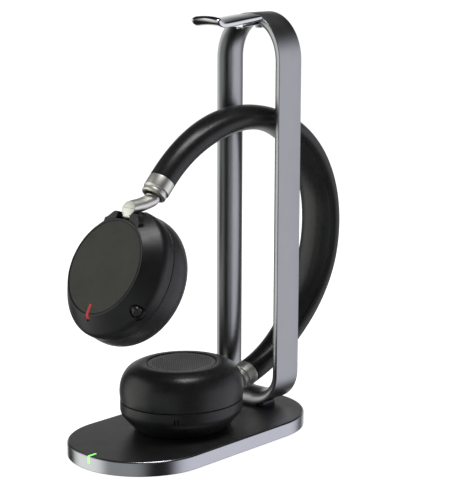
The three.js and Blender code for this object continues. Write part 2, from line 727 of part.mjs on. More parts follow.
function cupSocket() {
  const mouth = 32.8;
  return socket().rotate([0, 90, 0]).rotate([90, 0, 0])
    .translate([mouth, 0, SOCKET_DEPTH]).rotate([0, 0, SOCKET_ANGLE]);
}

const SWITCH = { width: 4, travel: 3, low: 11.2, high: 13.4, start: -3 };

function powerSwitch() {
  const { width, low, high, start } = SWITCH;
  const knob = box([28.6, SIDE_RADIUS + 0.5], [start, start + width], [low, high]);
  const flange = box([28.2, 29.3], [start - 1, start + width + 1], [low - 0.9, high + 0.9]);
  return joined(knob, flange);
}

function upperCup() {
  const { width, travel, low, high, start } = SWITCH;
  const housing = cut(
    housingBlank(),
    busyLightSlot(),
    rod(onBoom(BOOM_REACH - 4.3), onBoom(BOOM_REACH + 8), 3.1),
    rod(onBoom(20), onBoom(BOOM_REACH), 2),
    box([25, 40], [-4.9, 4.9], [-1.9, 1.9]).translate([0, 0, SOCKET_DEPTH]).rotate([0, 0, SOCKET_ANGLE]),
    box([25, 40], [start - GAP, start + width + travel + GAP], [low - GAP, high + GAP]));
  const group = cupCommon('upper', cut(capPlate(), busyLightSlot()), housing);
  group.add(named('busy_light', 'redLight', busyLight()));
  group.add(named('mic_boom', 'plastic', micBoom()));
  group.add(named('boom_sleeve', 'plastic', boomSleeve()));
  group.add(named('battery', 'battery', besideBoom(28, [4.4, 18.4], [4.4, 9.4])));
  group.add(named('main_board', 'board', besideBoom(30, [-18, -4.4], [5.4, 6.6])));
  group.add(named('headset_usb_socket', 'steel', cupSocket()));
  group.add(named('power_switch', 'plastic', powerSwitch()));
  return group;
}

const BUTTONS = { half: 3.1, low: 11, high: 14.2, proud: 0.8, flange: 0.8 };

/** Half the side wall's width at a distance towards the arm. */
function sideAt(radius, y) {
  return radius * Math.sqrt(1 - (y / (radius * CUP_OVAL)) ** 2);
}

function sideButton(y) {
  const { half, low, high, proud, flange } = BUTTONS;
  const outside = sideAt(SIDE_RADIUS, y) + proud;
  const inside = sideAt(SIDE_RADIUS - CUP_WALL, Math.abs(y) + half + flange) - GAP;
  const stem = box([-outside, -inside + 0.5], [y - half, y + half], [low, high]);
  const stop = box(
    [-inside, -inside + 1.1], [y - half - flange, y + half + flange], [low - flange, high + flange]);
  return joined(stem, stop);
}

function sideButtonHole(y) {
  const { half, low, high } = BUTTONS;
  return box([-THROUGH, -25], [y - half - GAP, y + half + GAP], [low - GAP, high + GAP]);
}

const BUTTON_PLACES = { volume_down_button: -8.8, call_button: 0, volume_up_button: 8.8 };

function micSlots() {
  return [-53.2, -50].map((angle) => box([30.5, 40], [-0.35, 0.35], [10.4, 13])
    .translate([1.6, 0, 0]).rotate([0, 0, angle]));
}

function lowerCup() {
  const holes = Object.values(BUTTON_PLACES).map(sideButtonHole);
  const group = cupCommon('lower', capPlate(), cut(housingBlank(), ...holes, ...micSlots()));
  group.add(named('receiver_coil', 'copper', coil(9, 19.5, 1.8, 2.6)));
  group.add(named('receiver_ferrite', 'ferrite', disc(20, 2.9, 3.4)));
  group.add(named('control_board', 'board', disc(21, 5.2, 6.4)));
  for (const [name, y] of Object.entries(BUTTON_PLACES)) {
    group.add(named(name, 'plastic', sideButton(y)));
  }
  return group;
}

// ---------------------------------------------------------------- assembly

/** Puts a group at an origin with its Y and Z axes along the given ones. */
function place(group, origin, yAxis, zAxis) {
  const xAxis = new THREE.Vector3().crossVectors(yAxis, zAxis);
  group.quaternion.setFromRotationMatrix(new THREE.Matrix4().makeBasis(xAxis, yAxis, zAxis));
  group.position.copy(origin);
  return group;
}

/** One side of the headset: sign is 1 for the upper side and -1 for the lower. */
function side(sign, name, cup) {
  const [sin, cos] = [Math.sin(HEADSET_TILT), Math.cos(HEADSET_TILT)];
  const group = new THREE.Group();
  const cupOrigin = new THREE.Vector3(0, CUP_CENTRE[0], sign * CUP_CENTRE[1]);
  const towardsArm = new THREE.Vector3(0, cos, sign * sin);
  const intoCup = new THREE.Vector3(0, sin, -sign * cos);
  group.add(place(cup, cupOrigin, towardsArm, intoCup));

  const armOrigin = bandPoint(sign * BAND_END_ANGLE);
  const ahead = bandPoint(sign * (BAND_END_ANGLE + 1e-4)).sub(armOrigin).normalize();
  const towardsHead = new THREE.Vector3(0, -sign * ahead.z, sign * ahead.y);
  const arm = new THREE.Group();
  arm.add(named(`${name}_ferrule`, 'polished', ferrule()));
  arm.add(named(`${name}_ferrule_bush`, 'plastic', ferruleBush()));
  group.add(place(arm, armOrigin, ahead, towardsHead));

  [cup, arm].forEach((part) => part.updateMatrix());
  const armInCup = cup.matrix.clone().invert().multiply(arm.matrix);
  const start = FERRULE_LENGTH + 0.9;
  const mouth = [[start, 0.35], [start + 1.9, 0.2]]
    .map(([y, z]) => new THREE.Vector3(0, y, z).applyMatrix4(armInCup));
  const wholeBar = bar(mouth);
  const tongueHere = tongue().transform(armInCup.elements);
  cup.add(named(`${name}_slider_arm`, 'polished', sliderArm(wholeBar, tongueHere)));
  cup.add(named(`${name}_swivel_post`, 'polished', swivelPost(wholeBar)));
  return group;
}

function headset() {
  const group = new THREE.Group();
  group.add(named('headband_cover', 'leatherette', headbandCover()));
  group.add(named('headband_cushion', 'leatherette', headbandCushion()));
  group.add(named('headband_spring', 'steel', headbandSpring()));
  group.add(side(1, 'upper', upperCup()));
  group.add(side(-1, 'lower', lowerCup()));
  const [sin, cos] = [Math.sin(HEADSET_TILT), Math.cos(HEADSET_TILT)];
  const [along, across] = [CUP_CENTRE[0], -CUP_CENTRE[1]];
  group.rotation.x = HEADSET_TILT;
  group.position.set(
    0,
    LOWER_CUP_Y - (along * cos - across * sin),
    LOWER_CUP_Z - (along * sin + across * cos));
  return group;
}

const model = new THREE.Group();
model.add(stand());
model.add(headset());

export default model;
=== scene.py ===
"""The look of a wireless office headset lying on its charging stand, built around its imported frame.

Shapes are worked out in millimetres, each in the frame of its own assembly, and put in place in
metres. An ear cup's frame has its origin in the middle of the cap, X across, Y towards the arm and
Z into the cup. The headband's frame has Y towards the crown and Z towards the upper ear cup.
"""

import json
import math

import bmesh
import bpy
from mathutils import Matrix, Vector


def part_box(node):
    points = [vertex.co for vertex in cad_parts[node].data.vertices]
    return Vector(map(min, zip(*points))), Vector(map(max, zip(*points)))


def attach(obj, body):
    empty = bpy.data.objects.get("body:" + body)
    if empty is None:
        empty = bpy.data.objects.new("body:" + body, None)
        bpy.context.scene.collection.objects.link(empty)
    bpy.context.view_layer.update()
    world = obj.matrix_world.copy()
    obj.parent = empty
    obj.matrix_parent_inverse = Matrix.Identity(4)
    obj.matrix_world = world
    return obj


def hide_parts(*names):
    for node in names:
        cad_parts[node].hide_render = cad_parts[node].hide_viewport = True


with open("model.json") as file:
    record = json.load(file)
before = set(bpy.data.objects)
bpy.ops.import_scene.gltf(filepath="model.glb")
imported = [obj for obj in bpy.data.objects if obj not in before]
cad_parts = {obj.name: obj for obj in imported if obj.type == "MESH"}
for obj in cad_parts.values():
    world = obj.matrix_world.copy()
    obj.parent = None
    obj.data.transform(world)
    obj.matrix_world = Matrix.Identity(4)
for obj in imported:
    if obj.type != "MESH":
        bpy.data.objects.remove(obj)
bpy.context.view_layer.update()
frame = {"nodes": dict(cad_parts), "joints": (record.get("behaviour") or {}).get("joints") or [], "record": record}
NODES = frame["nodes"]
JOINTS = {joint["name"]: joint for joint in frame["joints"]}
MM = 0.001

# ---------------------------------------------------------------- driving dimensions, mm

PIN_REACH, PIN_DEPTH = 29.3, 4.2        # the tilt pin in an ear cup's frame
PIN_TO_HEADBAND_CENTRE = 53.7           # along the headband's axis
CUP_OVAL = 1.1                          # the cups are longer towards the arm

BAND_AXIS_RADIUS, BAND_SIDE_RADIUS = 80.9, 72.0
BAND_END = math.radians(107.2)
BAND_HALF_THICKNESS = 6.9
BAND_SEAM = 3.45
CROWN_HALF_WIDTH, END_HALF_WIDTH, SECTION_HALF_WIDTH = 13.0, 7.6, 10.0

CAP_RADIUS, CAP_THICKNESS = 23.0, 1.5
RIM_RADIUS = 24.1
SIDE_RADIUS, CUP_WALL = 32.0, 1.8
CUSHION_TOP, CUSHION_HOLE = 35.9, 17.9

# ---------------------------------------------------------------- mesh helpers


def mesh_object(name, verts, faces, place=None, sharp=32):
    """A shaded mesh from millimetre points, put in place by a matrix of the frame it is made in."""
    mesh = bpy.data.meshes.new(name)
    matrix = (place or Matrix.Identity(4)) @ Matrix.Scale(MM, 4)
    mesh.from_pydata([matrix @ Vector(v) for v in verts], [], faces)
    bm = bmesh.new()
    bm.from_mesh(mesh)
    bmesh.ops.remove_doubles(bm, verts=bm.verts, dist=1e-7)
    bmesh.ops.recalc_face_normals(bm, faces=bm.faces)
    bm.to_mesh(mesh)
    bm.free()
    finish_shading(mesh, sharp)
    obj = bpy.data.objects.new(name, mesh)
    bpy.context.scene.collection.objects.link(obj)
    return obj


def finish_shading(mesh, sharp):
    mesh.shade_smooth()
    mesh.set_sharp_from_angle(angle=math.radians(sharp))


def loft(rings, closed=False, caps=(True, True)):
    """Faces between rings of points. Ends are capped, unless the last ring meets the first."""
    count = len(rings[0])
    verts = [point for ring in rings for point in ring]
    faces = []
    spans = len(rings) if closed else len(rings) - 1
    for i in range(spans):
        a, b = i * count, ((i + 1) % len(rings)) * count
        for j in range(count):
            k = (j + 1) % count
            faces.append((a + j, a + k, b + k, b + j))
    if not closed and caps[0]:
        faces.append(tuple(range(count))[::-1])
    if not closed and caps[1]:
        faces.append(tuple(range(len(verts) - count, len(verts))))
    return verts, faces


def joined(*parts):
    """Several (verts, faces) as one."""
    verts, faces = [], []
    for part_verts, part_faces in parts:
        start = len(verts)
        verts += part_verts
        faces += [tuple(start + i for i in face) for face in part_faces]
    return verts, faces


def rounded(points, closed=False, steps=4):
    """An outline whose points (x, y, radius) are rounded off by curves."""
    out = []
    last = len(points) - 1
    for i, (x, y, *radius) in enumerate(points):
        corner = Vector((x, y))
        if not radius or (not closed and i in (0, last)):
            out.append(tuple(corner))
            continue
        before, after = Vector(points[i - 1][:2]), Vector(points[(i + 1) % len(points)][:2])
        reach = min(radius[0], (before - corner).length * 0.49, (after - corner).length * 0.49)
        start = corner + (before - corner).normalized() * reach
        end = corner + (after - corner).normalized() * reach
        for step in range(steps + 1):
            t = step / steps
            out.append(tuple(start.lerp(corner, t).lerp(corner.lerp(end, t), t)))
    return out


def circle(radius, z, sides=96, oval=1.0):
    turn = 2 * math.pi / sides
    return [(radius * math.cos(turn * i), radius * oval * math.sin(turn * i), z) for i in range(sides)]


def turned(profile, sides=96, oval=1.0, ring=False):
    """A body turned about Z from (radius, z) points."""
    rings = [circle(max(radius, 1e-3), z, sides, oval) for radius, z in profile]
    return loft(rings, closed=ring)


def stadium(length, width, z, inset=0.0, sides=128):
    """The oval outline of the base, long along Y."""
    radius = width / 2 - inset
    straight = (length - width) / 2
    outline = []
    for i in range(sides):
        angle = 2 * math.pi * (i + 0.5) / sides
        shift = straight if math.sin(angle) > 0 else -straight
        outline.append((radius * math.cos(angle), shift + radius * math.sin(angle), z))
    return outline


def swept(path, section, closed=False, caps=(True, True)):
    """A section of (x, normal) points carried along a path of (y, z) points, X staying across."""
    rings = []
    for i, (y, z) in enumerate(path):
        before = path[i - 1] if i or closed else path[0]
        after = path[(i + 1) % len(path)] if i < len(path) - 1 or closed else path[-1]
        tangent = (Vector(after) - Vector(before)).normalized()
        normal = Vector((-tangent.y, tangent.x))
        points = section(i / (len(path) - 1)) if callable(section) else section
        rings.append([(x, y + n * normal.x, z + n * normal.y) for x, n in points])
    return loft(rings, closed=closed, caps=caps)


def smooth_path(points, steps):
    """A smooth curve through (y, z) points."""
    out = []
    for i in range(len(points) - 1):
        p0, p1 = Vector(points[max(i - 1, 0)]), Vector(points[i])
        p2, p3 = Vector(points[i + 1]), Vector(points[min(i + 2, len(points) - 1)])
        for step in range(steps):
            t = step / steps
            a = 2 * p1 + (p2 - p0) * t
            b = (2 * p0 - 5 * p1 + 4 * p2 - p3) * t * t
            c = (3 * p1 - 3 * p2 + p3 - p0) * t * t * t
            out.append(tuple((a + b + c) / 2))
    return out + [tuple(points[-1])]


def superellipse(half_width, half_height, power=2.0, count=48):
    outline = []
    for i in range(count):
        angle = 2 * math.pi * i / count
        c, s = math.cos(angle), math.sin(angle)
        outline.append((
            half_width * math.copysign(abs(c) ** (2 / power), c),
            half_height * math.copysign(abs(s) ** (2 / power), s)))
    return outline


def merge_close(mesh, distance=3e-6):
    """Closes the hair cracks that a cut can leave."""
    work = bmesh.new()
    work.from_mesh(mesh)
    bmesh.ops.remove_doubles(work, verts=work.verts, dist=distance)
    bmesh.ops.dissolve_degenerate(work, edges=work.edges, dist=distance)
    work.to_mesh(mesh)
    work.free()


def combine(obj, operation, *others):
    """Cuts solids away from a piece, joins them to it or keeps only what it shares with them."""
    for other in others:
        modifier = obj.modifiers.new("combine", "BOOLEAN")
        modifier.operation = operation
        modifier.solver = "EXACT"
        modifier.use_hole_tolerant = True
        modifier.object = other
        apply_modifiers(obj)
        merge_close(obj.data)
        bpy.data.objects.remove(other)
    finish_shading(obj.data, 32)
    return obj


def cut(obj, *cutters):
    return combine(obj, "DIFFERENCE", *cutters)


def weld(obj, *others):
    return combine(obj, "UNION", *others)


def apply_modifiers(obj):
    bpy.context.view_layer.update()
    depsgraph = bpy.context.evaluated_depsgraph_get()
    mesh = bpy.data.meshes.new_from_object(obj.evaluated_get(depsgraph))
    obj.modifiers.clear()
    obj.data = mesh


def block(x, y, z, place=None):
    """A plain box between (low, high) pairs, for cutting."""
    lows, highs = (x[0], y[0]), (x[1], y[1])
    ring = [(lows[0], lows[1]), (highs[0], lows[1]), (highs[0], highs[1]), (lows[0], highs[1])]
    verts, faces = loft([[(a, b, level) for a, b in ring] for level in z])
    return mesh_object("cutter", verts, faces, place)


def rod(start, end, profile, place, sides=48):
    """A body turned about the line between two points, from (radius, distance) points."""
    way = Vector(end) - Vector(start)
    local = Matrix.Translation(Vector(start) * MM) @ way.to_track_quat("Z", "Y").to_matrix().to_4x4()
    return mesh_object("rod", *turned(profile, sides), place @ local)


def plain_rod(start, end, radius, place, edge=0.15):
    """A round rod between two points, its ends slightly rounded off."""
    length = (Vector(end) - Vector(start)).length
    profile = rounded([(0, 0), (radius, 0, edge), (radius, length, edge), (0, length)])
    return rod(start, end, profile, place)


def along(direction, centre):
    """A frame at a centre whose Z follows a direction."""
    return Matrix.Translation(centre) @ Vector(direction).to_track_quat("Z", "Y").to_matrix().to_4x4()


# ---------------------------------------------------------------- frames of the assemblies


def frame_matrix(origin, y_axis, z_axis):
    """A frame in metres from an origin and its Y and Z axes."""
    x_axis = y_axis.cross(z_axis)
    matrix = Matrix((x_axis, y_axis, z_axis)).transposed().to_4x4()
    matrix.translation = origin
    return matrix


def in_plane_normal(v):
    return Vector((0, -v.z, v.y))


PINS = {side: Vector(JOINTS[f"{side}_tilt"]["pos_m"]) for side in ("upper", "lower")}
SIGN = {"upper": 1, "lower": -1}
ACROSS = (PINS["upper"] - PINS["lower"]).normalized()
CROWNWARD = -in_plane_normal(ACROSS)
HEADBAND = frame_matrix(
    (PINS["upper"] + PINS["lower"]) / 2 + CROWNWARD * PIN_TO_HEADBAND_CENTRE * MM, CROWNWARD, ACROSS)


def cup_matrix(side):
    to_arm = Vector(JOINTS[f"{side}_swivel"]["axis"]).normalized()
    inward = -SIGN[side] * in_plane_normal(to_arm)
    origin = PINS[side] - (to_arm * PIN_REACH + inward * PIN_DEPTH) * MM
    return frame_matrix(origin, to_arm, inward)


CUP = {side: cup_matrix(side) for side in SIGN}


def band_point(angle):
    return BAND_AXIS_RADIUS * math.cos(angle), BAND_SIDE_RADIUS * math.sin(angle)


def arm_matrix(side):
    """Y leads out of the end of the headband, and Z towards the head."""
    ahead = Vector(JOINTS[f"{side}_extend"]["axis"]).normalized() * SIGN[side]
    y, z = band_point(SIGN[side] * BAND_END)
    origin = HEADBAND @ (Vector((0, y, z)) * MM)
    return frame_matrix(origin, ahead, SIGN[side] * in_plane_normal(ahead))


ARM = {side: arm_matrix(side) for side in SIGN}

# ---------------------------------------------------------------- materials


class Shader:
    """A material under construction, with its Principled shader and a few ways to add nodes."""

    def __init__(self, name, **settings):
        self.material = bpy.data.materials.new(name)
        self.material.use_nodes = True
        self.tree = self.material.node_tree
        self.shader = self.tree.nodes["Principled BSDF"]
        for socket, value in settings.items():
            self.shader.inputs[socket.replace("_", " ")].default_value = value
        self.place = self.node("ShaderNodeTexCoord").outputs["Object"]

    def node(self, kind, inputs=None, **attributes):
        node = self.tree.nodes.new(kind)
        for key, value in attributes.items():
            setattr(node, key, value)
        for key, value in (inputs or {}).items():
            if isinstance(value, bpy.types.NodeSocket):
                self.tree.links.new(value, node.inputs[key])
            else:
                node.inputs[key].default_value = value
        return node

    def noise(self, scale, detail=3.0):
        inputs = {"Vector": self.place, "Scale": scale, "Detail": detail}
        return self.node("ShaderNodeTexNoise", inputs).outputs["Fac"]

    def cells(self, scale, feature="F1"):
        inputs = {"Vector": self.place, "Scale": scale}
        return self.node("ShaderNodeTexVoronoi", inputs, feature=feature).outputs["Distance"]

    def ramp(self, factor, low, high, start=0.3, end=0.7):
        """A colour or a grey value that goes from low to high as a factor goes from start to end."""
        node = self.node("ShaderNodeValToRGB", {"Fac": factor})
        for element, place, value in zip(node.color_ramp.elements, (start, end), (low, high)):
            element.position = place
            element.color = (*value, 1) if isinstance(value, tuple) else (value, value, value, 1)
        return node.outputs["Color"]

    def product(self, a, b):
        return self.node("ShaderNodeMath", {0: a, 1: b}, operation="MULTIPLY").outputs[0]

    def total(self, a, b):
        return self.node("ShaderNodeMath", {0: a, 1: b}, operation="ADD").outputs[0]

    def colour(self, output):
        self.tree.links.new(output, self.shader.inputs["Base Color"])
        return self

    def roughness(self, output):
        self.tree.links.new(output, self.shader.inputs["Roughness"])
        return self

    def bump(self, height, distance, strength=1.0):
        inputs = {"Height": height, "Distance": distance, "Strength": strength}
        node = self.node("ShaderNodeBump", inputs)
        self.tree.links.new(node.outputs["Normal"], self.shader.inputs["Normal"])
        return self


def metal(name, colour, rough, grain=4000, grain_height=2e-6, variation=0.04, tint=0.97):
    """A metal with a fine grain and slightly uneven roughness."""
    m = Shader(name, Metallic=1.0)
    darker = tuple(c * tint for c in colour)
    m.colour(m.ramp(m.noise(18, 2), darker, colour, 0.2, 0.8))
    m.roughness(m.ramp(m.noise(150, 5), rough - variation / 2, rough + variation / 2))
    return m.bump(m.noise(grain, 2), grain_height).material


def plastic(name, colour, rough, grain=3500, grain_height=6e-6, specular=0.5):
    """A moulded plastic with a fine texture."""
    m = Shader(name, Specular_IOR_Level=specular)
    lighter = tuple(c * 1.25 + 0.001 for c in colour)
    m.colour(m.ramp(m.noise(60, 4), colour, lighter))
    m.roughness(m.ramp(m.noise(220, 4), rough - 0.04, rough + 0.05))
    return m.bump(m.noise(grain, 2), grain_height).material


def leatherette(name, colour, rough, grain=1500, grain_height=2.2e-5):
    """A smooth coated fabric with a fine pebble grain."""
    m = Shader(name, Specular_IOR_Level=0.45, Sheen_Weight=0.06, Sheen_Roughness=0.5)
    pebbles = m.cells(grain, "SMOOTH_F1")
    folds = m.noise(260, 4)
    lighter = tuple(c * 1.5 + 0.002 for c in colour)
    m.colour(m.ramp(m.noise(45, 4), colour, lighter))
    m.roughness(m.ramp(m.total(m.product(pebbles, 0.5), m.product(folds, 0.5)), rough - 0.05, rough + 0.08))
    return m.bump(m.total(m.product(pebbles, 0.8), m.product(folds, 0.4)), grain_height).material


def light(name, colour, strength):
    """A lit light guide, brighter in patches."""
    m = Shader(name, Roughness=0.25)
    dim = tuple(c * 0.6 for c in colour)
    glow = m.ramp(m.noise(500), dim, colour)
    m.colour(glow)
    m.tree.links.new(glow, m.shader.inputs["Emission Color"])
    m.shader.inputs["Emission Strength"].default_value = strength
    return m.material


def windings(name, colour):
    """Copper wire wound round and round: fine ridges about the middle."""
    m = Shader(name, Metallic=1.0)
    rings = m.node(
        "ShaderNodeTexWave", {"Vector": m.place, "Scale": 900, "Distortion": 0.4},
        wave_type="RINGS", rings_direction="Z").outputs["Fac"]
    m.colour(m.ramp(rings, tuple(c * 0.35 for c in colour), colour))
    m.roughness(m.ramp(m.noise(300), 0.3, 0.45))
    return m.bump(rings, 6e-5).material


def circuit_board(name):
    m = Shader(name, Specular_IOR_Level=0.5)
    traces = m.node(
        "ShaderNodeTexBrick",
        {"Vector": m.place, "Scale": 260, "Mortar Size": 0.06, "Color1": (0.012, 0.09, 0.035, 1),
         "Color2": (0.016, 0.12, 0.045, 1), "Mortar": (0.05, 0.26, 0.1, 1)}).outputs["Color"]
    m.colour(traces)
    m.roughness(m.ramp(m.noise(200), 0.35, 0.5))
    return m.bump(m.noise(900), 2e-5).material


LOOKS = {
    "base_top": metal("base_top", (0.26, 0.26, 0.265), 0.36, variation=0.05),
    "bright_edge": metal("bright_edge", (0.60, 0.60, 0.64), 0.22),
    "loop_metal": metal("loop_metal", (0.45, 0.45, 0.465), 0.33),
    "black_metal": metal("black_metal", (0.06, 0.06, 0.065), 0.35),
    "polished": metal("polished", (0.95, 0.93, 0.88), 0.42, variation=0.03, grain_height=5e-7),
    "chrome": metal("chrome", (0.80, 0.80, 0.82), 0.07, variation=0.03, grain_height=1e-6),
    "steel": metal("steel", (0.50, 0.50, 0.51), 0.36),
    "battery": metal("battery", (0.55, 0.57, 0.60), 0.40),
    "cup_plastic": plastic("cup_plastic", (0.0095, 0.0095, 0.0105), 0.36),
    "black_plastic": plastic("black_plastic", (0.012, 0.012, 0.013), 0.48),
    "boom_plastic": plastic("boom_plastic", (0.016, 0.016, 0.017), 0.25),
    "cap_plastic": plastic("cap_plastic", (0.047, 0.047, 0.039), 0.60, specular=0.35),
    "ferrite": plastic("ferrite", (0.03, 0.03, 0.034), 0.75),
    "rubber": plastic("rubber", (0.014, 0.014, 0.014), 0.82, grain=900, grain_height=4e-5),
    "leatherette": leatherette("leatherette", (0.0095, 0.0095, 0.010), 0.31),
    "perforated": leatherette("perforated", (0.13, 0.13, 0.132), 0.50),
    "foam": leatherette("foam", (0.02, 0.02, 0.02), 0.9, grain=700, grain_height=2e-4),
    "copper": windings("copper", (0.62, 0.27, 0.12)),
    "circuit_board": circuit_board("circuit_board"),
    "green_light": light("green_light", (0.18, 0.9, 0.12), 3.0),
    "red_light": light("red_light", (0.40, 0.006, 0.012), 0.45),
}

SLOT_LOOKS = {
    "anodised_grey": "loop_metal", "black_metal": "black_metal", "polished_metal": "polished",
    "steel": "steel", "black_plastic": "black_plastic", "cap_plastic": "cap_plastic",
    "leatherette": "leatherette", "speaker_fabric": "perforated", "foam": "foam", "rubber": "rubber",
    "copper": "copper", "ferrite": "ferrite", "circuit_board": "circuit_board", "battery": "battery",
    "green_light": "green_light", "red_light": "red_light",
}


def dress_cad_nodes():
    """Gives every carried-over node the look of its material slot."""
    for part in frame["record"]["subparts"]:
        slots = NODES[part["node"]].data.materials
        slots.clear()
        slots.append(LOOKS[SLOT_LOOKS[part["material_slot"]]])


def piece(obj, body, looks, replaces=()):
    """Finishes a piece: its looks, the body it rides on and the nodes it stands for."""
    which = [face.material_index for face in obj.data.polygons]
    obj.data.materials.clear()
    for look in [looks] if isinstance(looks, str) else looks:
        obj.data.materials.append(LOOKS[look])
    if not isinstance(looks, str):
        obj.data.polygons.foreach_set("material_index", which)
    if replaces:
        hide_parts(*replaces)
    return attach(obj, body)


# ---------------------------------------------------------------- stand

low, high = (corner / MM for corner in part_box("base_shell"))
BASE = {
    "length": high.y - low.y, "width": high.x - low.x, "bottom": low.z, "top": high.z,
    "front": low.y, "rear": high.y, "ceiling": high.z - 2.0, "wall": 2.2, "bevel": 0.7,
}


def base_shell():
    """The flat base: a dark top inside a bright band, with the recess, the slots and the hollow."""
    bottom, top, bevel = BASE["bottom"], BASE["top"], BASE["bevel"]
    outside = rounded([
        (BASE["wall"], bottom), (0.25, bottom), (0, bottom + 0.3), (0, top - bevel, 0.25),
        (bevel, top, 0.25), (bevel + 1.2, top)])
    rings = [stadium(BASE["length"], BASE["width"], z, inset) for inset, z in outside]
    rings.insert(0, stadium(BASE["length"], BASE["width"], BASE["ceiling"], BASE["wall"]))
    obj = mesh_object("base_shell_shape", *loft(rings))
    pad_low, pad_high = (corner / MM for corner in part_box("charging_pad"))
    pad_radius = (pad_high.x - pad_low.x) / 2
    pad_place = Matrix.Translation(Vector((0, (pad_low.y + pad_high.y) / 2, 0)) * MM)
    recess = mesh_object(
        "cutter", *turned([(pad_radius + 0.3, pad_low.z - 0.3), (pad_radius + 0.3, top + 1)]), pad_place)
    slit = block((-0.7, 0.7), (BASE["front"] - 1, BASE["front"] + 5.8), (4.4, top + 1))
    socket_low, socket_high = (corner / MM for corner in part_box("stand_usb_socket"))
    inlet = mesh_object("cutter", *rounded_slot(
        (socket_high.x - socket_low.x) + 0.5, (socket_high.z - socket_low.z) + 0.5,
        BASE["rear"] - 5, BASE["rear"] + 1, (socket_low.z + socket_high.z) / 2))
    cut(obj, recess, slit, inlet)
    finish_shading(obj.data, 32)
    for face in obj.data.polygons:
        is_top = face.normal.z > 0.95 and face.center.z > (top - 0.2) * MM
        face.material_index = 0 if is_top else 1
    return piece(obj, "stand", ["base_top", "bright_edge"], ["base_shell"])


def stadium_plate(name, node, edge):
    """A thin oval plate with a softened edge, in the place of a CAD node."""
    low, high = (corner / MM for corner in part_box(node))
    outline = rounded([
        (high.x, low.z), (0, low.z, edge), (0, high.z, edge), (high.x, high.z)])[1:-1]
    rings = [stadium(high.y - low.y, high.x - low.x, z, inset) for inset, z in outline]
    return mesh_object(name, *loft(rings))


def foot_pad():
    return piece(stadium_plate("foot_pad_shape", "foot_pad", 0.3), "stand", "rubber", ["foot_pad"])


def bottom_cover():
    obj = stadium_plate("bottom_cover_shape", "bottom_cover", 0.15)
    holes = []
    for side in ("left", "right"):
        low, high = (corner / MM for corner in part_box(f"cover_screw_{side}"))
        x, y = (low.x + high.x) / 2, (low.y + high.y) / 2
        holes.append(plain_rod((x, y, 0), (x, y, 6), 2.6, Matrix.Identity(4)))
    cut(obj, *holes)
    return piece(obj, "stand", "black_plastic", ["bottom_cover"])


def rounded_slot(width, height, near, far, z):
    """A bar with a rounded section along Y."""
    section = superellipse(width / 2, height / 2, 5)
    return loft([[(x, y, z + h) for x, h in section] for y in (near, far)])


def charging_pad():
    low, high = (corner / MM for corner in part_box("charging_pad"))
    radius = (high.x - low.x) / 2
    place = Matrix.Translation(Vector((0, (low.y + high.y) / 2, 0)) * MM)
    profile = rounded([
        (0, low.z), (radius, low.z), (radius, high.z, 0.3), (radius - 1.6, high.z, 0.2),
        (radius - 1.9, high.z - 0.25, 0.2), (radius - 2.3, high.z - 0.25, 0.2), (radius - 2.6, high.z, 0.2),
        (0, high.z)])
    obj = mesh_object("charging_pad_shape", *turned(profile), place)
    return piece(obj, "stand", "rubber", ["charging_pad"])


def status_light():
    """The green slit down the front of the band, with its short mark over the edge."""
    front, top, bevel = BASE["front"], BASE["top"], BASE["bevel"]
    profile = [
        (front + 0.05, 4.6), (front + 3, 4.6), (front + 3, 5.7), (front + 5.5, 5.7),
        (front + 5.5, top + 0.02), (front + bevel, top + 0.02), (front + 0.05, top - bevel)]
    rings = [[(x, y, z) for y, z in profile] for x in (-0.55, 0.55)]
    obj = mesh_object("status_light_shape", *loft(rings))
    return piece(obj, "stand", "green_light", ["status_light"])


def loop_outline(points=56):
    """The loop's outer outline in (x, z), from its box."""
    low, high = (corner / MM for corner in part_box("loop_frame"))
    half, rise, corner = high.x, 25.9, 18.8
    arc = [math.pi * (i + 0.5) / points for i in range(points)]
    top = [(half * math.cos(a), high.z - rise + rise * math.sin(a)) for a in arc]
    quarter = [math.pi / 2 * i / 20 for i in range(21)]
    left = [(corner - half - corner * math.cos(a), low.z + corner - corner * math.sin(a)) for a in quarter]
    right = [(half - corner + corner * math.sin(a), low.z + corner - corner * math.cos(a)) for a in quarter]
    return top + left + right


LOOP_EDGE, LOOP_BULGE = 0.8, 6.0


def loop_section(count=28):
    """The bar's section as (y, depth) points: flat outside, rounded on the inside of the loop."""
    low, high = (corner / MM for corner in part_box("loop_frame"))
    half, middle, bevel = (high.y - low.y) / 2, (low.y + high.y) / 2, 0.45
    outside = rounded([
        (low.y, LOOP_EDGE), (low.y, 0, bevel), (high.y, 0, bevel), (high.y, LOOP_EDGE)], steps=4)
    inside = []
    for i in range(1, count):
        angle = math.pi * i / count
        inside.append((middle + half * math.cos(angle), LOOP_EDGE + LOOP_BULGE * math.sin(angle)))
    return outside + inside


def loop_frame():
    section = loop_section()
    outline = loop_outline()
    rings = []
    for i, (x, z) in enumerate(outline):
        before, after = Vector(outline[i - 1]), Vector(outline[(i + 1) % len(outline)])
        tangent = (after - before).normalized()
        outward = Vector((tangent.y, -tangent.x))
        rings.append([(x - depth * outward.x, y, z - depth * outward.y) for y, depth in section])
    obj = mesh_object("loop_frame_shape", *loft(rings, closed=True), sharp=40)
    low, high = (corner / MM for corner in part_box("hook_bracket"))
    slot = block((low.x - 0.3, high.x + 0.3), (low.y, high.y + 0.3), (low.z - 0.3, high.z + 0.3))
    cut(obj, slot)
    finish_shading(obj.data, 40)
    return piece(obj, "stand", "loop_metal", ["loop_frame"])


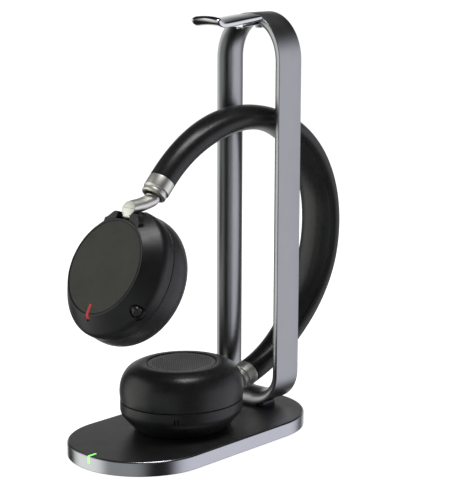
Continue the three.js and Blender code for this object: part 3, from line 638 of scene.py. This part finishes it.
def loop_plinth():
    low, high = (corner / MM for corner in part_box("loop_plinth"))
    width, depth, middle = high.x - low.x, high.y - low.y, (low.y + high.y) / 2
    section = superellipse(width / 2, depth / 2, 5, 64)
    rings = []
    for inset, z in ((0, low.z - 0.25), (0, low.z + 0.6), (0.9, LOOP_LOW - 0.02)):
        rings.append([(x * (1 - inset / width), middle + y * (1 - inset / depth), z) for x, y in section])
    obj = mesh_object("loop_plinth_shape", *loft(rings))
    return piece(obj, "stand", "black_metal", ["loop_plinth"])


LOOP_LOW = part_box("loop_frame")[0].z / MM


def arched_strip(half_width, thickness, crown, edge=0.7, count=16):
    """A strip's section as (x, normal) points, its upper side up and its middle the highest."""
    upper = [(half_width * (1 - 2 * i / count)) for i in range(count + 1)]
    drop = lambda x: -crown * (x / 10) ** 2
    top = [(x * (half_width - edge) / half_width, drop(x)) for x in upper]
    under = [(-x, y - thickness) for x, y in top]
    side = lambda sign: [
        (sign * (half_width - edge * 0.3), drop(half_width) - edge * 0.3),
        (sign * half_width, drop(half_width) - edge),
        (sign * half_width, drop(half_width) - thickness + edge),
        (sign * (half_width - edge * 0.3), drop(half_width) - thickness + edge * 0.3)]
    return top + side(-1) + under + side(1)[::-1]


HOOK_PATH = [(47.2, 229.6), (36, 228.7), (25, 227.7), (18.5, 227.3), (16.2, 227.9), (15.2, 229.8)]


def hook_plate():
    """The polished hook that the headset can also hang from."""
    path = smooth_path(HOOK_PATH[::-1], 10)
    section = arched_strip(10, 2.6, 0.8)
    verts, faces = swept(path, section)
    taper = [math.sqrt(1 - (1 - min(i / 7, 1)) ** 2 * 0.45) for i in range(len(path))]
    verts = [(x * taper[i // len(section)], y, z) for i, (x, y, z) in enumerate(verts)]
    obj = mesh_object("hook_plate_shape", verts, faces)
    bevel = obj.modifiers.new("edges", "BEVEL")
    bevel.width, bevel.segments, bevel.angle_limit = 0.5 * MM, 3, math.radians(40)
    apply_modifiers(obj)
    finish_shading(obj.data, 40)
    return piece(obj, "stand", "chrome", ["hook_plate"])


def hook_bracket():
    """The tongue under the hook that goes into the loop."""
    low, high = (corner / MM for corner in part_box("hook_bracket"))
    path = [(low.y + 0.3, 225.0), (low.y + 2, 225.1), (high.y - 0.3, 226.3)]
    section = [(x, normal) for x, normal in arched_strip(5.4, 1.9, 0.8, 0.5)]
    obj = mesh_object("hook_bracket_shape", *swept(path, section))
    return piece(obj, "stand", "chrome", ["hook_bracket"])


def screw(node, body):
    """A pan-head screw with a hexagon socket, standing in for a CAD screw along Z."""
    low, high = (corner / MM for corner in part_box(node))
    x, y, radius = (low.x + high.x) / 2, (low.y + high.y) / 2, (high.x - low.x) / 2
    shank, head = SCREW_SHANKS[node.rsplit("_", 1)[0]]
    profile = rounded([
        (0, 0), (radius - 0.1, 0, 0.3), (radius - 0.1, head, 0.1), (shank, head),
        (shank, high.z - low.z, 0.3), (0, high.z - low.z)])
    obj = rod((x, y, low.z), (x, y, high.z), profile, Matrix.Identity(4))
    key = [(x + shank * math.cos(math.pi / 3 * i), y + shank * math.sin(math.pi / 3 * i)) for i in range(6)]
    cut(obj, mesh_object("cutter", *loft([
        [(a, b, level) for a, b in key] for level in (low.z - 1, low.z + head * 0.6)])))
    obj.name = f"{node}_shape"
    return piece(obj, body, "steel", [node])


SCREW_SHANKS = {"cover_screw": (0.95, 0.6), "loop_screw": (1.45, 1.5), "hook_screw": (0.95, 1.3)}


def usb_socket(node, body, place):
    """A reversible plug's socket: its shell, its mouth and the tongue with contacts inside."""
    def bar(half_width, half_height, near, far, power=5):
        ring = superellipse(half_width, half_height, power, 40)
        return mesh_object("bar", *loft([[(x, y, z) for x, y in ring] for z in (near, far)]), place)
    obj = bar(4.4, 1.5, -7.2, -0.05)
    cut(obj, bar(4.1, 1.22, -6.2, 1))
    weld(obj, bar(3.2, 0.32, -6.6, -0.9, 12))
    obj.name = f"{node}_shape"
    return piece(obj, body, "steel", [node])


# ---------------------------------------------------------------- headband


def band_half_width(angle):
    t = (abs(angle) - math.radians(40)) / (BAND_END - math.radians(40))
    t = min(max(t, 0), 1)
    return CROWN_HALF_WIDTH + (END_HALF_WIDTH - CROWN_HALF_WIDTH) * t * t * (3 - 2 * t)


def along_band(section, steps=120, end=BAND_END):
    """Sweeps (x, towards the head) points along the headband, wider at the crown."""
    rings = []
    for i in range(steps + 1):
        angle = end * (2 * i / steps - 1)
        y, z = band_point(angle)
        outward = Vector((BAND_SIDE_RADIUS * math.cos(angle), BAND_AXIS_RADIUS * math.sin(angle)))
        outward.normalize()
        widen = band_half_width(angle) / SECTION_HALF_WIDTH
        rings.append([(x * widen, y - n * outward.x, z - n * outward.y) for x, n in section])
    return loft(rings)


def ellipse_arc(start, end, count, shrink=0.0):
    points = []
    for i in range(count + 1):
        angle = math.radians(start + (end - start) * i / count)
        points.append((
            (SECTION_HALF_WIDTH - shrink) * math.cos(angle),
            (BAND_HALF_THICKNESS - shrink) * math.sin(angle)))
    return points


def headband_cover():
    arc = ellipse_arc(27, -207, 40)
    lip_x, lip_y = arc[0]
    section = arc + [
        (-lip_x + 0.25, lip_y + 0.32), (-lip_x + 0.75, lip_y + 0.3), (-lip_x + 1.2, BAND_SEAM - 0.2),
        (-6.4, BAND_SEAM - 0.2), (-6.4, -3.6), (6.4, -3.6), (6.4, BAND_SEAM - 0.2),
        (lip_x - 1.2, BAND_SEAM - 0.2), (lip_x - 0.75, lip_y + 0.3), (lip_x - 0.25, lip_y + 0.32)]
    obj = mesh_object("headband_cover_shape", *along_band(section), HEADBAND, sharp=50)
    return piece(obj, "headband", "leatherette", ["headband_cover"])


def headband_cushion():
    arc = ellipse_arc(36, 144, 30)
    edge_x, edge_y = arc[0]
    section = arc + [
        (-edge_x - 0.28, edge_y - 0.25), (-edge_x - 0.2, edge_y - 0.5), (-edge_x + 0.5, BAND_SEAM + 0.15),
        (edge_x - 0.5, BAND_SEAM + 0.15), (edge_x + 0.2, edge_y - 0.5), (edge_x + 0.28, edge_y - 0.25)]
    obj = mesh_object("headband_cushion_shape", *along_band(section), HEADBAND, sharp=50)
    return piece(obj, "headband", "leatherette", ["headband_cushion"])


# ---------------------------------------------------------------- arms


def ferrule(side):
    r = BAND_HALF_THICKNESS
    profile = rounded([
        (4.8, 0.3), (r, 0.3, 0.25), (r, 6.9, 0.35), (r - 0.9, 7.35, 0.15), (r - 0.9, 8.0, 0.15),
        (r - 0.45, 8.25, 0.25), (r - 0.45, 9.8, 0.3), (r - 0.9, 10.3, 0.3), (4.8, 10.3, 0.2)])
    verts, faces = turned(profile, 72, ring=True)
    widen = END_HALF_WIDTH / BAND_HALF_THICKNESS
    verts = [(x * widen, z, -y) for x, y, z in verts]
    obj = mesh_object(f"{side}_ferrule_shape", verts, faces, ARM[side])
    return piece(obj, "headband", "polished", [f"{side}_ferrule"])


def ferrule_bush(side):
    """The dark plug inside the ferrule, with the slot that guides the arm's tongue."""
    profile = rounded([(0, 0.35), (4.55, 0.35), (4.55, 7.4, 0.3), (0, 7.4)])
    verts, faces = turned(profile, 48)
    widen = END_HALF_WIDTH / BAND_HALF_THICKNESS
    obj = mesh_object("bush", [(x * widen, z, -y) for x, y, z in verts], faces, ARM[side])
    cut(obj, block((-3.4, 3.4), (-1, 20), (TONGUE_OFFSET - 1.2, TONGUE_OFFSET + 1.2), ARM[side]))
    obj.name = f"{side}_ferrule_bush_shape"
    return piece(obj, "headband", "black_plastic", [f"{side}_ferrule_bush"])


TONGUE_OFFSET = 1.6
FACET_REACH, FACET_DEPTH = 32.8, 2.0    # middle of the bar's slanting end face, in the cup's frame
SWIVEL_SPLIT = 33.1
BAR_HALF_WIDTH, BAR_HALF_THICKNESS = 4.55, 3.5
BAR_POINTS = 56                         # round the bar's section
BARREL_HALF_WIDTH, BARREL_RADIUS = 2.6, 1.9
POST_RADIUS, POST_BORE, PIN_BORE = 1.4, 1.8, 1.0
SLOT_HALF_WIDTH, SLOT_FLOOR = 4.8, 26.3  # the slot in the housing that the bar moves in
NOTCH_FLOOR, NOTCH_DEPTH = 31.2, 13.4   # the deeper part of that slot


def bar(side):
    """The bar from the ferrule's mouth to its slanting end face, in the cup's frame."""
    to_cup = CUP[side].inverted() @ ARM[side]
    path = []
    for y, z in ((10.9, 0.35), (13.1, 0.2)):
        point = to_cup @ (Vector((0, y, z)) * MM) / MM
        path.append((point.y, point.z))
    end = Vector((FACET_REACH, FACET_DEPTH))
    path = smooth_path(path + [(end.x + 5.5, end.y + 8.3), (end.x + 2.8, end.y + 4.1), tuple(end)], 12)
    path = [point for point in path if (Vector(point) - end).length > 4.2] + [tuple(end)]
    section = superellipse(BAR_HALF_WIDTH, BAR_HALF_THICKNESS, 2.0, BAR_POINTS)
    verts = swept(path, section)[0]
    rings = [[Vector(v) for v in verts[i:i + BAR_POINTS]] for i in range(0, len(verts), BAR_POINTS)]
    way = Vector((0, *(Vector(path[-1]) - Vector(path[-2])).normalized()))

    def on_plane(depth):
        return [point + way * ((depth - point.z) / way.z) for point in rings[-1]]
    middle = Vector((0, FACET_REACH, FACET_DEPTH))
    rim = on_plane(FACET_DEPTH + 0.12)
    face = [middle + (point - middle) * 0.93 for point in on_plane(FACET_DEPTH)]
    return mesh_object("bar", *loft(rings[:-1] + [rim, face]), CUP[side])


def slider_arm(side):
    """The tongue that slides in the headband and the curved bar, bored for the swivel post."""
    obj = combine(bar(side), "INTERSECT", block((-9, 9), (SWIVEL_SPLIT + 0.06, 99), (-50, 50), CUP[side]))
    tongue = superellipse(3.2, 1.0, 6, 32)
    bar_of_tongue = mesh_object("tongue", *loft([
        [(x, y, TONGUE_OFFSET + z) for x, z in tongue] for y in (-24, 11)]), ARM[side])
    weld(obj, bar_of_tongue)
    cut(obj, plain_rod((0, 20, PIN_DEPTH), (0, 37.1, PIN_DEPTH), POST_BORE, CUP[side]))
    obj.name = f"{side}_slider_arm_shape"
    return piece(obj, f"{side}_arm", "polished", [f"{side}_slider_arm"])


def swivel_post(side):
    """The lower end of the bar with the barrel round the tilt pin, and the post that the arm turns on.

    Both sides have the same post, so each is made in the lower cup's place and then moved to its own.
    """
    made_in = CUP["lower"]
    obj = combine(bar("lower"), "INTERSECT", block((-9, 9), (0.3, SWIVEL_SPLIT - 0.07), (-40, 43), made_in))
    pin = (PIN_REACH, PIN_DEPTH)
    barrel = plain_rod((-BARREL_HALF_WIDTH, *pin), (BARREL_HALF_WIDTH, *pin), BARREL_RADIUS, made_in, 0.3)
    post = plain_rod((0, PIN_REACH + 1.1, PIN_DEPTH), (0, 36.6, PIN_DEPTH), POST_RADIUS, made_in, 0.1)
    weld(obj, barrel, post)
    cut(obj, rod((-9, *pin), (9, *pin), [(0, 0), (PIN_BORE, 0), (PIN_BORE, 18), (0, 18)], made_in, 30))
    obj.data.transform(CUP[side] @ made_in.inverted())
    obj.name = f"{side}_swivel_post_shape"
    return piece(obj, f"{side}_post", "polished", [f"{side}_swivel_post"])


def tilt_pin(side):
    obj = plain_rod((-6.8, PIN_REACH, PIN_DEPTH), (6.8, PIN_REACH, PIN_DEPTH), 0.9, CUP[side], 0.2)
    obj.name = f"{side}_tilt_pin_shape"
    return piece(obj, f"{side}_cup", "steel", [f"{side}_tilt_pin"])


# ---------------------------------------------------------------- ear cups


def cap_plate(side):
    profile = rounded([
        (0, 0.02), (CAP_RADIUS - 2.2, 0.02), (CAP_RADIUS - 0.35, 0.0, 0.3), (CAP_RADIUS, 0.35, 0.25),
        (CAP_RADIUS, CAP_THICKNESS), (0, CAP_THICKNESS)])
    obj = mesh_object(f"{side}_cap_plate_shape", *turned(profile, 128, CUP_OVAL), CUP[side])
    if side == "upper":
        cut(obj, busy_light_slot())
    return piece(obj, f"{side}_cup", "cap_plastic", [f"{side}_cap_plate"])


def busy_light_slot():
    return block((-1.05, 1.05), (-40, -20.2), (-1, 3.1), CUP["upper"])


def busy_light():
    """The red slash over the rim of the upper cap."""
    outline = [
        (-20.4, 0.0), (-25.2, 0.0), (-26.6, 0.15), (-28.2, 2.0), (-27.0, 2.9), (-25.3, 1.5), (-20.4, 1.5)]
    verts, faces = loft([[(x, y, z) for y, z in outline] for x in (-0.9, 0.9)])
    obj = mesh_object("busy_light_shape", verts, faces, CUP["upper"])
    return piece(obj, "upper_cup", "red_light", ["busy_light"])


def housing_profile():
    return rounded([
        (CAP_RADIUS + 0.25, 0.35), (RIM_RADIUS, 0.1, 0.35), (31.2, 8.5, 1.6), (SIDE_RADIUS, 10.6, 1.2),
        (SIDE_RADIUS, 15.9, 0.3), (SIDE_RADIUS - CUP_WALL, 15.8), (SIDE_RADIUS - CUP_WALL, 10.3), (24.5, 3.7),
        (21, 3.7), (21, 1.8), (CAP_RADIUS + 0.25, 1.8)], steps=6)


def shoulders(side):
    """The raised part of the housing that carries the tilt pin. housing() cuts the slot for the post."""
    outline = []
    for i in range(41):
        x = -14 + 0.7 * i
        rise = min(max((14 - abs(x)) / 6.6, 0), 1)
        outline.append((x, 25.9 + 4.8 * rise * rise * (3 - 2 * rise)))
    outline += [(14, 22), (-14, 22)]
    middle = Vector((0, 27))
    rings = []
    for shrink, z in ((0.88, 0.6), (0.93, 1.2), (0.98, 2.2), (1, 3.2), (1, 8)):
        rings.append([(*(middle + (Vector(point) - middle) * shrink), z) for point in outline])
    return mesh_object("shoulders", *loft(rings), CUP[side])


def housing(side, *cutters):
    shell = turned(housing_profile(), 128, CUP_OVAL, ring=True)
    obj = mesh_object(f"{side}_housing_shape", *shell, CUP[side])
    weld(obj, shoulders(side))
    weld(obj, block((-6.8, 6.8), (29.5, 33.5), (7.1, 14.9), CUP[side]))
    cut(obj, block((-SLOT_HALF_WIDTH, SLOT_HALF_WIDTH), (SLOT_FLOOR, 60), (-2, 8.2), CUP[side]))
    cut(obj, block((-SLOT_HALF_WIDTH, SLOT_HALF_WIDTH), (NOTCH_FLOOR, 60), (8.1, NOTCH_DEPTH), CUP[side]))
    cut(obj, *cutters)
    return piece(obj, f"{side}_cup", "cup_plastic", [f"{side}_housing"])


BOOM_WAY = Vector((-0.816, -0.578)).normalized()
BOOM_REACH, BOOM_DEPTH = 31.4, 7.6


def boom_point(distance):
    return (BOOM_WAY.x * distance, BOOM_WAY.y * distance, BOOM_DEPTH)


def mic_boom():
    """The microphone boom, pushed in: only its round end shows, in its recess."""
    tip = BOOM_REACH - 6
    profile = rounded([
        (0, 0), (1.5, 0, 0.3), (1.5, tip + 18 - 0.4), (2.75, tip + 18, 0.4), (2.75, tip + 21.6, 0.1),
        (2.6, tip + 21.8, 0.1), (2.6, tip + 22.1, 0.1), (2.75, tip + 22.3, 0.1),
        (2.75, BOOM_REACH + 18.1, 0.6), (2.1, BOOM_REACH + 18.6, 0.3), (0, BOOM_REACH + 18.45)])
    obj = rod(boom_point(-18), boom_point(BOOM_REACH), profile, CUP["upper"])
    obj.name = "mic_boom_shape"
    return piece(obj, "boom", "boom_plastic", ["mic_boom"])


def upper_housing_cutters():
    recess = rod(
        boom_point(20), boom_point(40),
        [(0, 0), (1.9, 0), (1.9, 5.2), (3.35, 5.2), (3.35, 10.6), (3.7, 11.3), (4.6, 12.4),
         (4.6, 22), (0, 22)],
        CUP["upper"])
    around = CUP["upper"] @ Matrix.Rotation(math.radians(-45), 4, "Z")
    socket = superellipse(4.75, 1.8, 5, 40)
    mouth = mesh_object("cutter", *loft([[(x, y, 12.4 + z) for y, z in socket] for x in (25, 40)]), around)
    track = superellipse(3.8, 1.35, 6, 40)
    travel = loft([[(x, 0.5 + y, 12.3 + z) for y, z in track] for x in (25, 40)])
    travel = mesh_object("cutter", *travel, CUP["upper"])
    return busy_light_slot(), recess, mouth, travel


def power_switch():
    """A small ribbed slider."""
    def slab(half_length, half_height, near, far, y=-1.0, power=6):
        ring = superellipse(half_length, half_height, power, 32)
        rings = [[(x, y + a, 12.3 + b) for a, b in ring] for x in (near, far)]
        return mesh_object("slab", *loft(rings), CUP["upper"])
    obj = slab(2.0, 1.05, 28.6, SIDE_RADIUS + 0.35)
    weld(obj, slab(3.0, 1.95, 28.25, 29.3))
    grooves = [
        block((SIDE_RADIUS + 0.1, 40), (y - 0.12, y + 0.12), (10, 15), CUP["upper"])
        for y in (-1.8, -1.0, -0.2)]
    cut(obj, *grooves)
    obj.name = "power_switch_shape"
    return piece(obj, "power_switch", "black_plastic", ["power_switch"])


BUTTONS = {"volume_down": -8.8, "call": 0.0, "volume_up": 8.8}
BUTTON_HALF_LENGTH, BUTTON_MIDDLE, BUTTON_HALF_HEIGHT = 3.1, 12.6, 1.6


def side_at(radius, y):
    return radius * math.sqrt(1 - (y / (radius * CUP_OVAL)) ** 2)


def button_blank(y, grow, inner, proud):
    """A rounded bar that ends in a face that follows the curve of the cup's side."""
    ring = superellipse(BUTTON_HALF_LENGTH + grow, BUTTON_HALF_HEIGHT + grow, 5, 40)
    rings = []
    for shrink, stand_out in ((1, None), (1, proud - 0.3), (0.97, proud - 0.08), (0.9, proud)):
        rings.append([(
            -inner if stand_out is None else -side_at(SIDE_RADIUS, y + a * shrink) - stand_out,
            y + a * shrink, BUTTON_MIDDLE + b * shrink) for a, b in ring])
    return mesh_object("button", *loft(rings), CUP["lower"])


def side_button(name):
    y = BUTTONS[name]
    inner = side_at(SIDE_RADIUS - CUP_WALL, abs(y) + 3.9) - 0.3
    obj = button_blank(y, 0, inner - 1.0, 0.7)
    if name == "call":
        face = -side_at(SIDE_RADIUS, y) - 0.7
        inside, outside = (face + 0.5, y, BUTTON_MIDDLE), (face - 0.15, y, BUTTON_MIDDLE)
        weld(obj, plain_rod(inside, outside, 0.5, CUP["lower"]))
    obj.name = f"{name}_button_shape"
    return piece(obj, name, "boom_plastic", [f"{name}_button"])


def lower_housing_cutters():
    holes = [button_blank(y, 0.25, 24, 4) for y in BUTTONS.values()]
    for angle in (-53.2, -50):
        around = CUP["lower"] @ Matrix.Rotation(math.radians(angle), 4, "Z")
        slit = superellipse(0.33, 1.3, 4, 20)
        holes.append(mesh_object("cutter", *loft([
            [(x, y, 11.7 + z) for y, z in slit] for x in (31.2, 42)]), around))
    return holes


def ear_cushion(side):
    profile = rounded([
        (CUSHION_HOLE, 18), (30.3, 18), (30.3, 16.15), (SIDE_RADIUS - 0.1, 16.15, 0.5), (32.4, 21.9, 4),
        (31.6, 27.2, 4), (28.4, 33.2, 4), (22.6, CUSHION_TOP, 4),
        (CUSHION_HOLE + 0.7, CUSHION_TOP - 0.05, 0.7), (CUSHION_HOLE, CUSHION_TOP - 1)], steps=6)
    cushion = turned(profile, 128, CUP_OVAL, ring=True)
    obj = mesh_object(f"{side}_ear_cushion_shape", *cushion, CUP[side], sharp=50)
    return piece(obj, f"{side}_cup", "leatherette", [f"{side}_ear_cushion"])


def speaker_mesh(side):
    """The perforated disc: rows of small round holes sunk into a soft skin."""
    radius, pitch, hole = CUSHION_HOLE - 0.15, 1.6, 0.52
    bottom, top = CUSHION_TOP - 2.4, CUSHION_TOP - 0.35
    profile = rounded([(0, bottom), (radius, bottom), (radius, top, 0.3), (radius - 1.2, top)])
    base = turned(profile, 96, CUP_OVAL)
    obj = mesh_object(f"{side}_speaker_mesh_shape", *base, CUP[side])
    holes = []
    rows = int(radius * CUP_OVAL / pitch)
    for row in range(-rows, rows + 1):
        for column in range(-rows, rows + 1):
            x, y = column * pitch, row * pitch
            if math.hypot(x, y / CUP_OVAL) < radius - 2.0:
                ring = [(x + hole * math.cos(a), y + hole * math.sin(a)) for a in (
                    2 * math.pi * i / 8 for i in range(8))]
                holes.append(loft([[(px, py, z) for px, py in ring] for z in (top - 0.7, top + 0.5)]))
    cut(obj, mesh_object("cutter", *joined(*holes), CUP[side]))
    finish_shading(obj.data, 32)
    return piece(obj, f"{side}_cup", "perforated", [f"{side}_speaker_mesh"])


# ---------------------------------------------------------------- assembly

dress_cad_nodes()
base_shell()
bottom_cover()
foot_pad()
charging_pad()
status_light()
loop_frame()
loop_plinth()
hook_plate()
hook_bracket()
for place in ("left", "right"):
    screw(f"cover_screw_{place}", "stand")
for place in ("front", "rear"):
    screw(f"loop_screw_{place}", "stand")
    screw(f"hook_screw_{place}", "stand")
usb_socket("stand_usb_socket", "stand", (
    Matrix.Translation(Vector((0, BASE["rear"] - 0.6, 4.5)) * MM)
    @ Matrix.Rotation(math.pi, 4, "Z") @ Matrix.Rotation(math.pi / 2, 4, "X")))
headband_cover()
headband_cushion()
housing("upper", *upper_housing_cutters())
housing("lower", *lower_housing_cutters())
for side in SIGN:
    ferrule(side)
    ferrule_bush(side)
    slider_arm(side)
    swivel_post(side)
    tilt_pin(side)
    cap_plate(side)
    ear_cushion(side)
    speaker_mesh(side)
busy_light()
mic_boom()
power_switch()
usb_socket("headset_usb_socket", "upper_cup", (
    CUP["upper"] @ Matrix.Rotation(math.radians(-45), 4, "Z")
    @ Matrix.Translation(Vector((32.8, 0, 12.4)) * MM)
    @ Matrix.Rotation(math.pi / 2, 4, "X") @ Matrix.Rotation(math.pi / 2, 4, "Y")))
for name in BUTTONS:
    side_button(name)

# ---------------------------------------------------------------- camera, floor and light

CAMERA = {"place": (0.6047, -0.6520, 0.2880), "azimuth": 41.514, "elevation": 11.647, "roll": 0.208}
FOCAL_LENGTH = 121.4


def add_camera():
    azimuth, elevation, roll = (math.radians(CAMERA[key]) for key in ("azimuth", "elevation", "roll"))
    back = Vector((
        math.sin(azimuth) * math.cos(elevation),
        -math.cos(azimuth) * math.cos(elevation),
        math.sin(elevation)))
    right = Vector((math.cos(azimuth), math.sin(azimuth), 0))
    up = back.cross(right)
    turn = Matrix((right, up, back)).transposed() @ Matrix.Rotation(roll, 3, "Z")
    data = bpy.data.cameras.new("camera")
    data.lens = FOCAL_LENGTH
    data.sensor_width = 36
    data.shift_x, data.shift_y = 0.0005, 0.0030
    camera = bpy.data.objects.new("camera", data)
    camera.matrix_world = Matrix.Translation(CAMERA["place"]) @ turn.to_4x4()
    bpy.context.scene.collection.objects.link(camera)
    bpy.context.scene.camera = camera


def add_floor():
    """A white floor that glows a little, as a lit studio floor does."""
    verts, faces = loft([circle(12000, -0.05), circle(12000, 0)][::-1])
    floor = mesh_object("floor", verts, faces)
    shader = Shader("floor", Roughness=0.9, Emission_Strength=0.95)
    shader.shader.inputs["Emission Color"].default_value = (1, 1, 1, 1)
    shader.colour(shader.ramp(shader.noise(3), 0.86, 0.88))
    floor.data.materials.append(shader.material)
    floor.visible_glossy = False


def add_area_light(name, place, aim, size, power, colour=(1, 1, 1)):
    data = bpy.data.lights.new(name, "AREA")
    data.shape = "RECTANGLE"
    data.size, data.size_y = size
    data.energy = power
    data.color = colour
    lamp = bpy.data.objects.new(name, data)
    direction = Vector(aim) - Vector(place)
    lamp.matrix_world = along(-direction, Vector(place))
    bpy.context.scene.collection.objects.link(lamp)


# Soft boxes round the object: azimuth and half widths of the bright and the faded part, then the
# heights (sine of the elevation) where each is still full and where it has faded out, in degrees,
# and its colour.
SOFT_BOXES = [
    (43, 6, 50, 0.12, 0.53, (0.82, 0.83, 0.90)),
    (-140, 10, 42, 0.50, 0.80, (1.12, 1.15, 1.08)),
    (-78, 12, 48, 0.20, 0.60, (0.33, 0.345, 0.34)),
    (128, 8, 38, 0.00, 0.46, (0.78, 0.78, 0.78)),
]
AMBIENT = 0.018
DARK_BELOW = (-0.75, -0.45)             # the boxes' light fades out downwards between these heights


def add_world():
    """A dark studio with soft boxes that reach below the level of the floor."""
    world = bpy.data.worlds.new("studio")
    world.use_nodes = True
    tree = world.node_tree
    background = tree.nodes["Background"]

    def node(kind, operation=None, **inputs):
        made = tree.nodes.new(kind)
        if operation:
            made.operation = operation
        for key, value in inputs.items():
            socket = made.inputs[int(key[1:])]
            if isinstance(value, bpy.types.NodeSocket):
                tree.links.new(value, socket)
            else:
                socket.default_value = value
        return made.outputs

    def fade(value, faded, full):
        made = tree.nodes.new("ShaderNodeMapRange")
        made.interpolation_type = "SMOOTHSTEP"
        tree.links.new(value, made.inputs["Value"])
        made.inputs["From Min"].default_value, made.inputs["From Max"].default_value = faded, full
        return made.outputs["Result"]

    direction = node("ShaderNodeTexCoord")["Generated"]
    height = node("ShaderNodeSeparateXYZ", _0=direction)["Z"]
    flat = node("ShaderNodeVectorMath", "MULTIPLY", _0=direction, _1=(1, 1, 0))["Vector"]
    level = node("ShaderNodeVectorMath", "NORMALIZE", _0=flat)["Vector"]
    light = None
    for azimuth, bright, faded, full_height, faded_height, colour in SOFT_BOXES:
        towards = (math.cos(math.radians(azimuth)), math.sin(math.radians(azimuth)), 0)
        facing = node("ShaderNodeVectorMath", "DOT_PRODUCT", _0=level, _1=towards)["Value"]
        across = fade(facing, math.cos(math.radians(faded)), math.cos(math.radians(bright)))
        upwards = fade(height, faded_height, full_height)
        amount = node("ShaderNodeMath", "MULTIPLY", _0=across, _1=upwards)["Value"]
        glow = node("ShaderNodeVectorMath", "SCALE", _0=colour, _3=amount)["Vector"]
        light = glow if light is None else node("ShaderNodeVectorMath", "ADD", _0=light, _1=glow)["Vector"]
    above = fade(height, DARK_BELOW[0], DARK_BELOW[1])
    light = node("ShaderNodeVectorMath", "SCALE", _0=light, _3=above)["Vector"]
    light = node("ShaderNodeVectorMath", "ADD", _0=light, _1=(AMBIENT,) * 3)["Vector"]
    tree.links.new(light, background.inputs["Color"])
    bpy.context.scene.world = world


add_camera()
add_floor()
add_world()
add_area_light("top", (0.12, 0.08, 1.2), (0, 0, 0.1), (0.45, 0.45), 5)
bpy.context.scene.view_settings.view_transform = "Standard"
